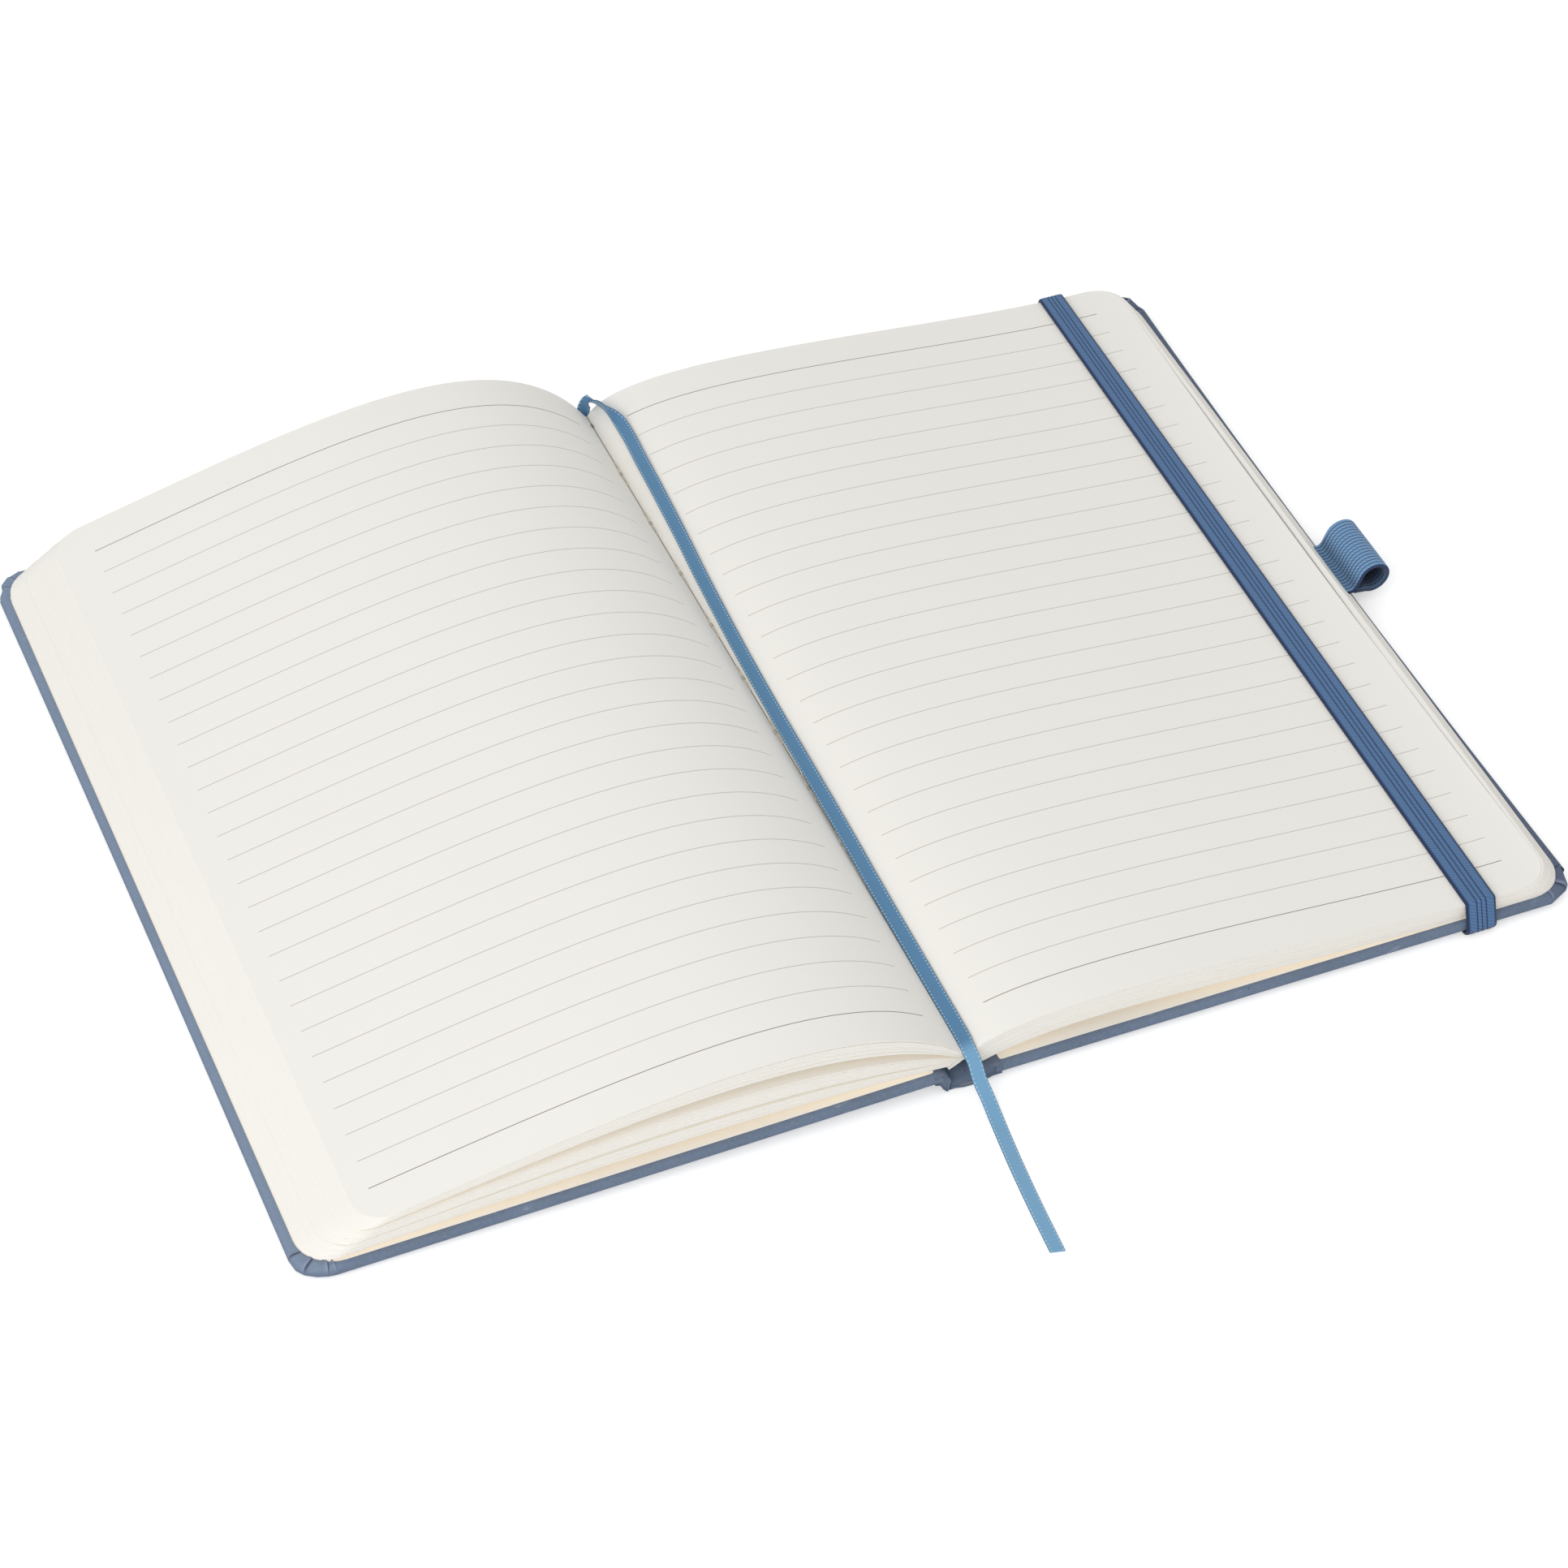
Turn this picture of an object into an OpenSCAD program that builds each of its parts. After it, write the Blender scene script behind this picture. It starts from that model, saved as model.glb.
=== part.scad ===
// Hardback pocket notebook lying open near its middle: two stiff covers, a sewn block of ruled
// leaves, a ribbon marker, an elastic closing band and an elastic pen loop.
// X runs across the spread, +Y towards the head of the page, +Z up. The origin is the middle of
// the underside of the spine, on the surface that the notebook lies on.

/* [Covers] */
// Height of both covers, tail to head
cover_h = 210; // [150:1:300]
// Width of one cover, from its hinge end to its fore edge
cover_w = 131.6; // [95:0.1:200]
// Thickness of the greyboard
board_t = 2; // [1.2:0.1:3]
// Thickness of the covering sheet
covering_t = 0.2; // [0.15:0.05:0.4]
// Radius of the two outer corners of a cover
cover_corner = 7.5; // [5:0.5:12]
// Width of the covering turned in over the board
turn_in = 14; // [10:1:20]
// Thickness of the endpaper pasted inside a cover
pastedown_t = 0.15; // [0.1:0.05:0.3]

/* [Spine] */
// Width of the flat spine strip
spine_w = 8.4; // [7.5:0.1:9.5]
// Thickness of the card inside the spine strip
spine_card_t = 0.5; // [0.3:0.1:0.8]
// Clear joint between the spine strip and the hinge end of each cover
joint_gap = 1.4; // [1:0.1:2.5]
// Height of the front hinge line above the table
hinge_z = 0.15; // [0.1:0.05:0.3]
// Height of the front cover's underside above its hinge line
hinge_rise = 2.65; // [2.3:0.05:3.2]
// Running clearance between the front cover and what stays behind
swing_gap = 0.3; // [0.2:0.05:0.5]

/* [Leaves] */
// How far the covers stand out beyond the leaves at the head and at the tail
square_w = 2; // [1:0.1:4]
// How far the covers stand out beyond the lowest leaf at the fore edge
fore_square = 1.85; // [1:0.05:4]
// Corner radius of a leaf
page_corner = 8; // [4:0.5:14]
// Thickness of the leaves on the left
left_pile = 7.2; // [5:0.1:9]
// Thickness of the leaves on the right
right_pile = 4.65; // [3.5:0.05:6]
// How far the top left leaf falls back from the bottom one at the fore edge
left_lean = 10; // [6:0.5:14]
// How far the top right leaf falls back from the bottom one at the fore edge
right_lean = 4; // [2:0.5:6]

/* [Page arches] */
// Distance of the left arch's shoulder from the fold
left_shoulder = 22.3; // [16:0.1:30]
// Distance of the right arch's shoulder from the fold, at the head
right_shoulder_head = 9.6; // [7:0.1:16]
// Distance of the right arch's shoulder from the fold, at the tail
right_shoulder_tail = 18; // [12:0.5:26]
// Rise of the left arch beside the fold, at the head
left_rise_head = 33.5; // [20:0.5:45]
// Rise of the left arch beside the fold, at the tail
left_rise_tail = 23; // [15:0.5:35]
// Height of the left arch further out, at the head
left_out_head = 18; // [12:0.5:25]
// Height of the left arch further out, at the tail
left_out_tail = 14; // [10:0.5:20]
// Rise of the right arch beside the fold, at the head
right_rise_head = 17.5; // [10:0.5:25]
// Rise of the right arch beside the fold, at the tail
right_rise_tail = 14.5; // [8:0.5:20]
// Sinking of the top right leaf at the tail of its fore edge
right_sag = 1.4; // [0:0.1:1.6]
// Lift of the lowest right leaf off its cover beside the fold
right_lift = 9; // [5:0.5:11]

/* [Sewing] */
// Number of stitches along the fold
stitches = 11; // [5:1:15]
// Spacing of the stitches
stitch_pitch = 17.6; // [10:0.1:18]
// Length of one stitch
stitch_l = 8; // [4:0.5:9]
// How far the row of stitches sits towards the tail from the middle of the page
stitch_down = 6.4; // [0:0.1:10]
// Thickness of the thread
thread_d = 0.4; // [0.3:0.1:0.5]

/* [Ribbon marker] */
// Width of the ribbon
ribbon_w = 3; // [2:0.5:4]
// Thickness of the ribbon
ribbon_t = 0.4; // [0.3:0.1:0.5]

/* [Elastic band] */
// Width of the band
band_w = 6.2; // [4:0.1:8]
// Thickness of the band
band_t = 0.7; // [0.5:0.05:0.9]
// Distance of the band's middle from the fore edge of the back cover
band_in = 22.6; // [18:0.1:30]
// Distance of each band slot from the end of the cover
slot_in = 14; // [10:0.5:22]
// Length of the band's end glued under the endpaper
band_tab = 9; // [6:0.5:14]

/* [Pen loop] */
// Width of the loop along the fore edge
loop_w = 16; // [10:0.5:24]
// Thickness of the loop's elastic
loop_t = 0.9; // [0.7:0.05:1.1]
// Radius of the round part, to the middle of the elastic
loop_r = 3.4; // [3.35:0.05:5]
// How far the round part's middle stands out from the cover
loop_out = 3.4; // [2.5:0.1:6]
// Length of the tab glued inside the back cover
loop_tab = 14; // [8:0.5:16]

/* [Hidden] */

// Clearance of glued and laid pieces
glue = 0.05;
// Cover slab, its rounded edge and the board's step back from that edge
slab_t = board_t + 2 * covering_t;
edge_r = slab_t / 2;
board_in = 0.8;
// Places across the spread
hinge_x = spine_w / 2 + swing_gap / 2;
cover_x = spine_w / 2 + joint_gap;
edge_x = cover_x + cover_w;
// Height of a leaf, and its width from the hinge line to its fore edge
page_h = cover_h - 2 * square_w;
page_w = edge_x - fore_square - hinge_x;
// Heights of the back cover, which lies on the two band ends
back_z = band_t + 0.1;
back_top = back_z + slab_t + pastedown_t;
gutter_z = back_top + right_pile;
// Lean of the front cover: its fore edge touches the table
lean_a = hinge_rise + edge_r;
lean_b = edge_x - edge_r - hinge_x;
lean = acos((edge_r - hinge_z) / norm([lean_a, lean_b])) - atan2(lean_b, lean_a);
// Spine back: the glued folds, bent up where the block opens
back_t = 1.2;
spine_path = [
    [-spine_w / 2, front_top(spine_w / 2) + 0.2], [-1.3, gutter_z - back_t / 2],
    [1.3, gutter_z - back_t / 2], [spine_w / 2 - 0.8, back_top + 1.1]
];

// Rise of the front cover's inner face above the table, x mm left of the fold
function front_top(x) =
    hinge_z + (hinge_rise + slab_t + pastedown_t) / cos(lean) - (x - hinge_x) * tan(lean);

function mix(a, b, f) = a + (b - a) * f;

function bez(p, t) =
    p[0] * pow(1 - t, 3) + p[1] * 3 * pow(1 - t, 2) * t + p[2] * 3 * (1 - t) * pow(t, 2) + p[3] * pow(t, 3);

function arc(c, r, a0, a1, n) =
    [for (i = [0 : n]) let (a = a0 + (a1 - a0) * i / n) c + r * [cos(a), sin(a)]];

// Left leaves, x outwards: the top leaf arches, the bottom leaf follows the cover. end is 0 at
// the tail and 1 at the head.
function left_top(end) = let (x = hinge_x + page_w - left_lean) [
    [0.9, gutter_z - 0.1],
    [left_shoulder, gutter_z + mix(left_rise_tail, left_rise_head, end)],
    [page_w * 0.5, gutter_z + mix(left_out_tail, left_out_head, end)],
    [x + mix(1, -1, end), front_top(x) + left_pile]
];

function left_low(end) = let (x = hinge_x + page_w) [
    for (f = [0, 1 / 3, 2 / 3, 1]) let (p = mix(spine_w / 2, x, f)) [p, front_top(p) + swing_gap]
];

// Right leaves, x outwards
function right_top(end) = let (x = hinge_x + page_w - right_lean) [
    [0.9, gutter_z - 0.1],
    [mix(right_shoulder_tail, right_shoulder_head, end),
        gutter_z + mix(right_rise_tail, right_rise_head, end)],
    [page_w * mix(0.82, 0.73, end), gutter_z - mix(3, 2, end)],
    [x, back_top + right_pile - mix(right_sag, 0, end)]
];

function right_low(end) = let (x = hinge_x + page_w) [
    [spine_w / 2 - 0.9, back_top + 1],
    [page_w * 0.21, back_top + right_lift * mix(1, 1.25, end)],
    [page_w * 0.53, back_top - 1.2],
    [x, back_top + 0.15]
];

// A leaf between the bottom one and the top one: ends sets its place at the fold and at the fore
// edge, belly its place between them
function leaf(low, top, ends, belly) = [
    mix(low[0], top[0], ends), mix(low[1], top[1], belly),
    mix(low[2], top[2], belly), mix(low[3], top[3], ends)
];

// Stations along a leaf: even ones to where the corner starts, then round the corner
leaf_steps = 15;
corner_steps = 4;
function reach(p) = 3 * norm(p[3] - p[2]);
function station(p, i) = i <= leaf_steps
    ? (1 - page_corner / reach(p)) * i / leaf_steps
    : 1 - page_corner * (1 - sin(90 * (i - leaf_steps) / corner_steps)) / reach(p);
function half_h(i) = page_h / 2 - (i <= leaf_steps
    ? 0 : page_corner * (1 - cos(90 * (i - leaf_steps) / corner_steps)));

function leaf_point(tail, head, i, side) =
    let (y = side * half_h(i))
    let (p = mix(bez(tail, station(tail, i)), bez(head, station(head, i)), 0.5 + y / page_h))
    [p[0], y, p[1]];

// Skin of a swept shape: rings of k points each, closed at both ends. Seen along the sweep, the
// points of a ring run clockwise.
module skin(rings) {
    k = len(rings[0]);
    n = len(rings);
    points = [for (r = rings) for (p = r) p];
    sides = [for (i = [0 : n - 2]) for (j = [0 : k - 1])
        let (a = i * k + j, b = i * k + (j + 1) % k)
        each [[a, b, b + k], [a, b + k, a + k]]];
    first = [for (j = [k - 1 : -1 : 0]) j];
    last = [for (j = [0 : k - 1]) (n - 1) * k + j];
    polyhedron(points, concat([first], sides, [last]), convexity = 6);
}

// A pile of leaves between its bottom leaf and its top leaf
module pile(low, top) {
    skin([for (i = [0 : leaf_steps + corner_steps]) [
        leaf_point(low[0], low[1], i, 1), leaf_point(low[0], low[1], i, -1),
        leaf_point(top[0], top[1], i, -1), leaf_point(top[0], top[1], i, 1)
    ]]);
}

// Air between two bundles of a pile, open at the tail and at the head. places holds its place at
// the ends, then at the belly below and above.
module air_gap(low, top, places) {
    gap = [for (belly = [places[1], places[2]])
        [for (end = [0, 1]) leaf(low[end], top[end], places[0], belly)]];
    skin([for (i = [1 : leaf_steps]) [
        for (c = [[0, 1.01], [0, -1.01], [1, -1.01], [1, 1.01]])
            leaf_point(gap[c[0]][0], gap[c[0]][1], i, c[1])
    ]]);
}

// Flat strap of even thickness along a path in its own plane
function normal_at(p, i) =
    let (a = p[max(i - 1, 0)], b = p[min(i + 1, len(p) - 1)], d = (b - a) / norm(b - a))
    [-d[1], d[0]];
module strap(path, t) {
    n = len(path) - 1;
    polygon([
        for (i = [0 : n]) path[i] + normal_at(path, i) * t / 2,
        for (i = [n : -1 : 0]) path[i] - normal_at(path, i) * t / 2
    ]);
}

// Extrudes a section drawn in x and z along y, and one drawn in y and z along x
module along_y(l) { rotate([90, 0, 0]) linear_extrude(l, center = true) children(); }
module along_x(l) { rotate([90, 0, 90]) linear_extrude(l, center = true) children(); }

// Plan of one cover, drawn from its hinge end at x = 0 outwards, stepped in by inset
module cover_plan(inset) {
    r = max(cover_corner - inset, 1);
    c = [cover_w - inset - r, cover_h / 2 - inset - r];
    polygon(concat(
        [[inset, cover_h / 2 - inset]],
        [for (a = [90 : -30 : 0]) c + r * [cos(a), sin(a)]],
        [for (a = [0 : -30 : -90]) [c[0], -c[1]] + r * [cos(a), sin(a)]],
        [[inset, inset - cover_h / 2]]
    ));
}

// Soft-edged outer form of one cover
module cover_slab() {
    r = cover_corner - edge_r;
    c = [cover_w - cover_corner, cover_h / 2 - cover_corner];
    hull() {
        for (s = [-1, 1]) {
            translate([edge_r, s * (cover_h / 2 - edge_r), edge_r]) sphere(edge_r, $fn = 16);
            for (a = [0 : 30 : 90])
                translate([c[0] + r * cos(a), s * (c[1] + r * sin(a)), edge_r])
                    sphere(edge_r, $fn = 16);
        }
    }
}

// Board of one cover, square-edged
module board() {
    translate([0, 0, covering_t]) linear_extrude(board_t) cover_plan(board_in);
}

// Folded pleats of the covering at the two outer corners, on the inner face
module pleats() {
    for (s = [-1, 1])
        translate([cover_w - cover_corner, s * (cover_h / 2 - cover_corner), slab_t - glue])
            for (a = [22, 62])
                rotate([0, 0, s * a]) linear_extrude(0.3 + glue)
                    polygon([[cover_corner - 2.7, 0], [cover_corner - 1.1, -0.9], [cover_corner - 1.1, 0.9]]);
}

// Covering sheet of one cover, wrapped round its board and turned in
module cover_wrap() {
    difference() {
        union() { cover_slab(); pleats(); }
        translate([0, 0, covering_t - glue]) linear_extrude(board_t + 2 * glue)
            cover_plan(board_in - glue);
        translate([0, 0, slab_t / 2]) linear_extrude(slab_t) cover_plan(turn_in);
    }
}

// Endpaper leaf pasted to the inner face of one cover
module pastedown() {
    x0 = joint_gap + glue;
    x1 = cover_w - square_w - glue;
    translate([0, 0, slab_t + glue / 2]) linear_extrude(pastedown_t - glue)
        hull() {
            for (s = [-1, 1]) {
                translate([x0 + 0.5, s * (page_h / 2 - 0.5)]) circle(0.5, $fn = 16);
                translate([x1 - page_corner, s * (page_h / 2 - page_corner)])
                    circle(page_corner, $fn = 32);
            }
        }
}

// Puts a cover drawn at its hinge end into its place on the left, leaning on its fore edge
module on_front() {
    translate([-hinge_x, 0, hinge_z]) rotate([0, -lean, 0])
        translate([hinge_x - cover_x, 0, hinge_rise]) mirror([1, 0, 0]) children();
}

// Puts a cover drawn at its hinge end into its place on the right
module on_back() { translate([cover_x, 0, back_z]) children(); }

// Slots through the back cover for the ends of the band, and the beds of its glued tabs
module band_cuts() {
    for (s = [-1, 1]) {
        translate([edge_x - band_in, s * (cover_h / 2 - slot_in), back_z + slab_t / 2])
            cube([band_w + 0.4, band_t + 0.4, slab_t * 2], center = true);
        translate([edge_x - band_in, s * (cover_h / 2 - slot_in - band_tab / 2 - 0.2),
                back_z + slab_t - (band_t + 0.2) / 2])
            cube([band_w + 0.4, band_tab + band_t + 0.8, band_t + 0.2], center = true);
    }
}

module front_board() { color("#9a958c") on_front() board(); }

module front_covering() {
    color("#707c91") {
        on_front() cover_wrap();
        hinge_lip(-1);
    }
}

// Doubled covering that runs from the underside of a cover down to the spine strip
module hinge_lip(side) {
    lip_t = 2 * covering_t + 0.1;
    start = side < 0
        ? [hinge_x + swing_gap / 2, hinge_z + 0.3] : [spine_w / 2 - 0.2, lip_t / 2];
    top = side < 0 ? hinge_z + hinge_rise : back_z;
    path = [start, [cover_x - 0.4, mix(start[1], top, 0.35)], [cover_x + 0.5, top + 0.55]];
    along_y(cover_h - 1) strap([for (p = path) [side * p[0], p[1]]], lip_t);
}

module front_pastedown() { color("#f1eee6") on_front() pastedown(); }

// Card inside the spine strip
module spine_card() {
    color("#9a958c")
        translate([0, 0, covering_t + glue / 2 + (spine_card_t - glue) / 2])
            cube([spine_w - 1, cover_h - 1.6, spine_card_t - glue], center = true);
}

module back_board() {
    color("#9a958c") difference() {
        on_back() board();
        band_cuts();
    }
}

// Covering of the spine strip and of the back cover, one sheet, turned in at both ends
module back_covering() {
    color("#707c91") difference() {
        union() {
            on_back() cover_wrap();
            hinge_lip(1);
            spine_wrap();
        }
        band_cuts();
    }
}

module spine_wrap() {
    strip_t = spine_card_t + 2 * covering_t;
    translate([-spine_w / 2, -cover_h / 2, 0]) difference() {
        cube([spine_w, cover_h, strip_t]);
        translate([0.5 - glue, 0.8 - glue, covering_t])
            cube([spine_w - 1 + 2 * glue, cover_h - 1.6 + 2 * glue, spine_card_t + glue]);
        translate([0.5 - glue, turn_in, covering_t])
            cube([spine_w - 1 + 2 * glue, cover_h - 2 * turn_in, strip_t]);
    }
}

module back_pastedown() {
    color("#f1eee6") on_back() pastedown();
}

// Lift of the lowest left bundle off the cover, at its belly, and the gaps between the bundles
left_lift = 0.18;
left_gaps = [[0.70, 0.60, 0.77], [0.36, 0.34, 0.39]];

// All leaves as one block, opened in the middle, joined along the glued folds
module page_block() {
    left_tops = [left_top(0), left_top(1)];
    color("#f3f0e8") difference() {
        union() {
            mirror([1, 0, 0]) difference() {
                pile([for (e = [0, 1]) leaf(left_low(e), left_top(e), 0, left_lift)], left_tops);
                for (g = left_gaps) air_gap([left_low(0), left_low(1)], left_tops, g);
            }
            pile([right_low(0), right_low(1)], [right_top(0), right_top(1)]);
            along_y(page_h - 0.02) strap(spine_path, back_t);
        }
        // Lowest leaves lift over the tab of the pen loop
        translate([edge_x - loop_tab - 1, -loop_w / 2 - 1, back_top - 1])
            cube([loop_tab + 10, loop_w + 2, loop_t + 1.4]);
    }
}

// Open cloth glued to the back of the folds
module spine_lining() {
    color("#e9e6dc") along_y(page_h - 16) strap([
        for (i = [0 : len(spine_path) - 1])
            spine_path[i] - normal_at(spine_path, i) * (back_t / 2 + 0.25)
    ], 0.3);
}

// Stitches lying in the fold
module sewing_thread() {
    color("#ddd8cc")
        for (i = [0 : stitches - 1])
            translate([0, (i - (stitches - 1) / 2) * stitch_pitch - stitch_down,
                    gutter_z + thread_d / 2 + glue])
                rotate([90, 0, 0]) cylinder(d = thread_d, h = stitch_l, center = true, $fn = 16);
}

// Route of the ribbon, from the back of the folds at the head to its free end: x, y, z, how far
// its right edge is turned up, and how far its width is turned from X towards Y
ribbon_route = [
    [-0.6, 96, 5.3, 0, 0], [-0.6, 101, 5.3, 0, 0], [-0.6, 103.4, 5.6, 0, 0],
    [-0.5, 104.4, 6.7, 0, -15], [-0.15, 104.4, 8.3, 0, -40], [0.15, 104.2, 9.9, 0, -60],
    [0.7, 103.8, 11.1, 5, -68], [1.4, 102.7, 11.4, 37, -98], [2, 101.2, 12, 60, -120],
    [2.5, 100, 12.3, 70, -180], [2.95, 97.9, 12.4, 78, -180], [3.55, 96.2, 12.4, 78, 0],
    [4.05, 94.7, 12.2, 57, 0], [4.4, 93.2, 11.95, 39, 0], [4.5, 91, 11.8, 32, 0],
    [4.5, 87, 11.7, 30, 0], [4.21, 81, 11.59, 31, 0], [3.91, 70, 11.25, 31, 0],
    [3.32, 55, 10.84, 36, 0], [2.59, 40, 10.3, 38, 0], [1.91, 20, 9.74, 39, 0],
    [1.55, 0, 9.35, 39, 0], [1.27, -20, 9.42, 36, 0], [1.1, -40, 9.25, 28, 0],
    [0.75, -60, 9.1, 22, 0], [0.59, -80, 8.97, 18, 0], [0.37, -98, 8.95, 13, 0],
    [0.2, -101, 8.95, 9, 0], [0.1, -103.6, 8.67, 4, 0], [0.3, -105.4, 7.6, 0, 0],
    [0.5, -107.8, 4.8, 0, 0], [1.1, -110.4, 2.3, 0, 0], [1.1, -114.6, 0.6, 0, 0],
    [0.55, -120, 0.3, 0, 0], [-0.22, -127, 0.3, 0, 0], [-1.1, -137, 0.3, 0, 0],
    [-1.9, -148.8, 0.3, 0, 0]
];

// Half section of the ribbon, with softened edges: across and up
ribbon_section = [for (c = [[1, 0.4], [0.8, 1], [-0.8, 1], [-1, 0.4]]) each [
    [c[0] * ribbon_w / 2, c[1] * ribbon_t / 2]
]];

function ribbon_ring(i) =
    let (r = ribbon_route, c = r[i], a = r[max(i - 1, 0)], b = r[min(i + 1, len(r) - 1)])
    let (d = [b[0] - a[0], b[1] - a[1], b[2] - a[2]], t = d / norm(d))
    let (f = [cos(c[3]) * cos(c[4]), cos(c[3]) * sin(c[4]), sin(c[3])])
    let (u = f - t * (f * t), w = u / norm(u), n = cross(w, t))
    [for (s = [1, -1]) for (q = ribbon_section)
        [c[0], c[1], c[2]] + s * (w * q[0] + n * q[1])];

module ribbon_marker() {
    color("#5682a1") skin([for (i = [0 : len(ribbon_route) - 1]) ribbon_ring(i)]);
}

// Height of the right page at the band, the higher of the band's two sides
function page_top(end) =
    let (rows = [for (i = [0 : 40]) bez(right_top(end), i / 40)])
    let (x = edge_x - band_in)
    max(lookup(x - band_w / 2, rows), lookup(x + band_w / 2, rows));

// Path of the band in y and z, from one end of the cover to the middle of the page
function band_half(end) =
    let (s = end == 0 ? -1 : 1, lap = 0.1 + band_t / 2)
    let (low = [s * (cover_h / 2 - edge_r), back_z + edge_r], r_low = edge_r + lap)
    let (high = [s * page_h / 2, page_top(end)], d = high - low)
    let (turn = acos((r_low - lap) / norm(d)), to = atan2(d[1], d[0]) - s * turn)
    let (y_slot = s * (cover_h / 2 - slot_in), z_tab = back_z + slab_t - band_t / 2 - 0.05, q = 0.5)
    concat(
        [[y_slot - s * band_tab, z_tab]],
        arc([y_slot - s * q, z_tab - q], q, 90, s > 0 ? 0 : 180, 3),
        arc([y_slot + s * q, band_t / 2 + q], q, s > 0 ? 180 : 0, s > 0 ? 270 : -90, 3),
        arc(low, r_low, -90, s > 0 ? to : to - 360, 6),
        arc(high, lap, to, 90, 3)
    );

module elastic_band() {
    head = band_half(1);
    color("#4d678a")
        translate([edge_x - band_in, 0, 0]) along_x(band_w)
            strap(concat(band_half(0), [for (i = [len(head) - 1 : -1 : 0]) head[i]]), band_t);
}

// Pen loop: a teardrop of elastic on a tab glued inside the back cover
module pen_loop() {
    z_tab = back_top + glue + loop_t / 2;
    base = [edge_x - 1, z_tab];
    c = [edge_x + loop_out, z_tab + loop_r - 1];
    from = c + loop_r * [cos(140), sin(140)];
    back = c + loop_r * [cos(-115), sin(-115)];
    path = concat(
        [for (i = [0 : 5]) bez([base, base + [1.6, 0], from - [1, 1.3], from], i / 6)],
        arc(c, loop_r, 140, -115, 16),
        [for (i = [1 : 3]) mix(back, base, i / 4)]
    );
    n = len(path) - 1;
    color("#536e8c") along_y(loop_w) difference() {
        polygon(concat(
            [[edge_x - loop_tab, z_tab - loop_t / 2], [edge_x - loop_tab, z_tab + loop_t / 2]],
            [for (i = [0 : n]) path[i] + normal_at(path, i) * loop_t / 2],
            [[base[0], z_tab - loop_t / 2]]
        ));
        polygon([for (i = [5 : n - 2]) path[i] - normal_at(path, i) * loop_t / 2]);
    }
}

front_board();
front_covering();
front_pastedown();
spine_card();
back_board();
back_covering();
back_pastedown();
page_block();
spine_lining();
sewing_thread();
ribbon_marker();
elastic_band();
pen_loop();
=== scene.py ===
"""Looks of an open hardback notebook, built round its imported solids.

Lengths in the geometry functions are millimetres in the row frame: X across the spread, +Y towards
the head of the page, +Z up from the table. A mesh is turned into metres when it is made.
"""

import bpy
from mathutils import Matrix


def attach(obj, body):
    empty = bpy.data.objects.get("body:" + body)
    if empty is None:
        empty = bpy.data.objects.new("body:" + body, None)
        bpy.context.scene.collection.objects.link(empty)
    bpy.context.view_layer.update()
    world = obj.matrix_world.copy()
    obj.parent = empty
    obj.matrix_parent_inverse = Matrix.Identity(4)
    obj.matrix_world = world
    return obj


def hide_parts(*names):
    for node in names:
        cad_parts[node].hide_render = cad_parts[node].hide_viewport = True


bl_info = {
    "name": "Open Notebook",
    "version": (1, 0, 0),
    "blender": (4, 5, 0),
    "location": "View3D > Sidebar > Notebook",
    "description": "Builds the leaves, covers, ribbon and elastics of an open hardback notebook",
    "category": "Add Mesh",
}

import math

import bpy
import numpy as np
from bpy.props import FloatProperty, FloatVectorProperty, IntProperty
from mathutils import Matrix

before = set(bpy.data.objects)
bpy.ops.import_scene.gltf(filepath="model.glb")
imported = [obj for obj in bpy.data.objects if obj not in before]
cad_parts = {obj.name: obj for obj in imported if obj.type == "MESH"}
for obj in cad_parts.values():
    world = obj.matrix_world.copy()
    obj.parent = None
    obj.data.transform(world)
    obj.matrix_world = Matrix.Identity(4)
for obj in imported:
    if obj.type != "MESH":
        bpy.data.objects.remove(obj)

MM = 0.001

# Covers: height, width, thickness, hinge end, fore edge, height of the back cover
COVER_H, COVER_W, SLAB_T = 210.0, 131.6, 2.4
COVER_X, EDGE_X, BACK_Z = 5.6, 137.2, 0.8
HINGE = (4.35, 0.15)
HINGE_RISE = 2.65
CORNER = 7.5
ENDPAPER_T = 0.15
BOW, PLEAT_STEP = 1.2, 0.25

# Leaves: half height, corner radius, place of the fold
HALF_PAGE, PAGE_CORNER, GUTTER_Z = 103.0, 7.0, 8.0

# Printed lines: height of the first line on the left page, and how much higher the right one is
FIRST_LINE, RIGHT_HIGHER = 94.05, 0.7

# Stitches: how many, their half length, and how far their row is shifted towards the tail
STITCHES, HALF_STITCH, STITCH_SHIFT = 11, 4.0, 6.4

# Folds of the covering round the outer corners, from each corner's centre: towards the fore edge,
# towards the head or the tail, and 1 where the sheet is creased
FRONT_FOLDS = {
    "tail": [(7.5, 0.5, 1), (7.0, 3.2, 0), (5.9, 4.75, 1), (3.8, 6.1, 0), (1.6, 6.85, 1), (0, 7.05, 0)],
    "head": [(7.5, -0.5, 1), (7.2, 1.1, 0), (6.1, 3.1, 1), (5.9, 4.7, 0), (4.2, 6.4, 1), (1.3, 7.35, 0)],
}
BACK_FOLDS = {
    "tail": [(7.5, -1.2, 1), (6.6, 1.6, 0), (6.0, 4.0, 0), (5.2, 4.9, 1), (2.7, 6.1, 0), (0.8, 7.05, 0)],
    "head": [(7.5, 0, 1), (6.8, 1.9, 0), (6.2, 5.2, 1), (4.9, 6.2, 0), (2.4, 7.1, 0), (0, 7.5, 0)],
}

# Elastic band and pen loop
BAND_X, BAND_W, BAND_T = 114.6, 6.2, 0.7
BAND_GATHER = 0.107
LOOP_W, LOOP_T = 16.0, 0.9

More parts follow.
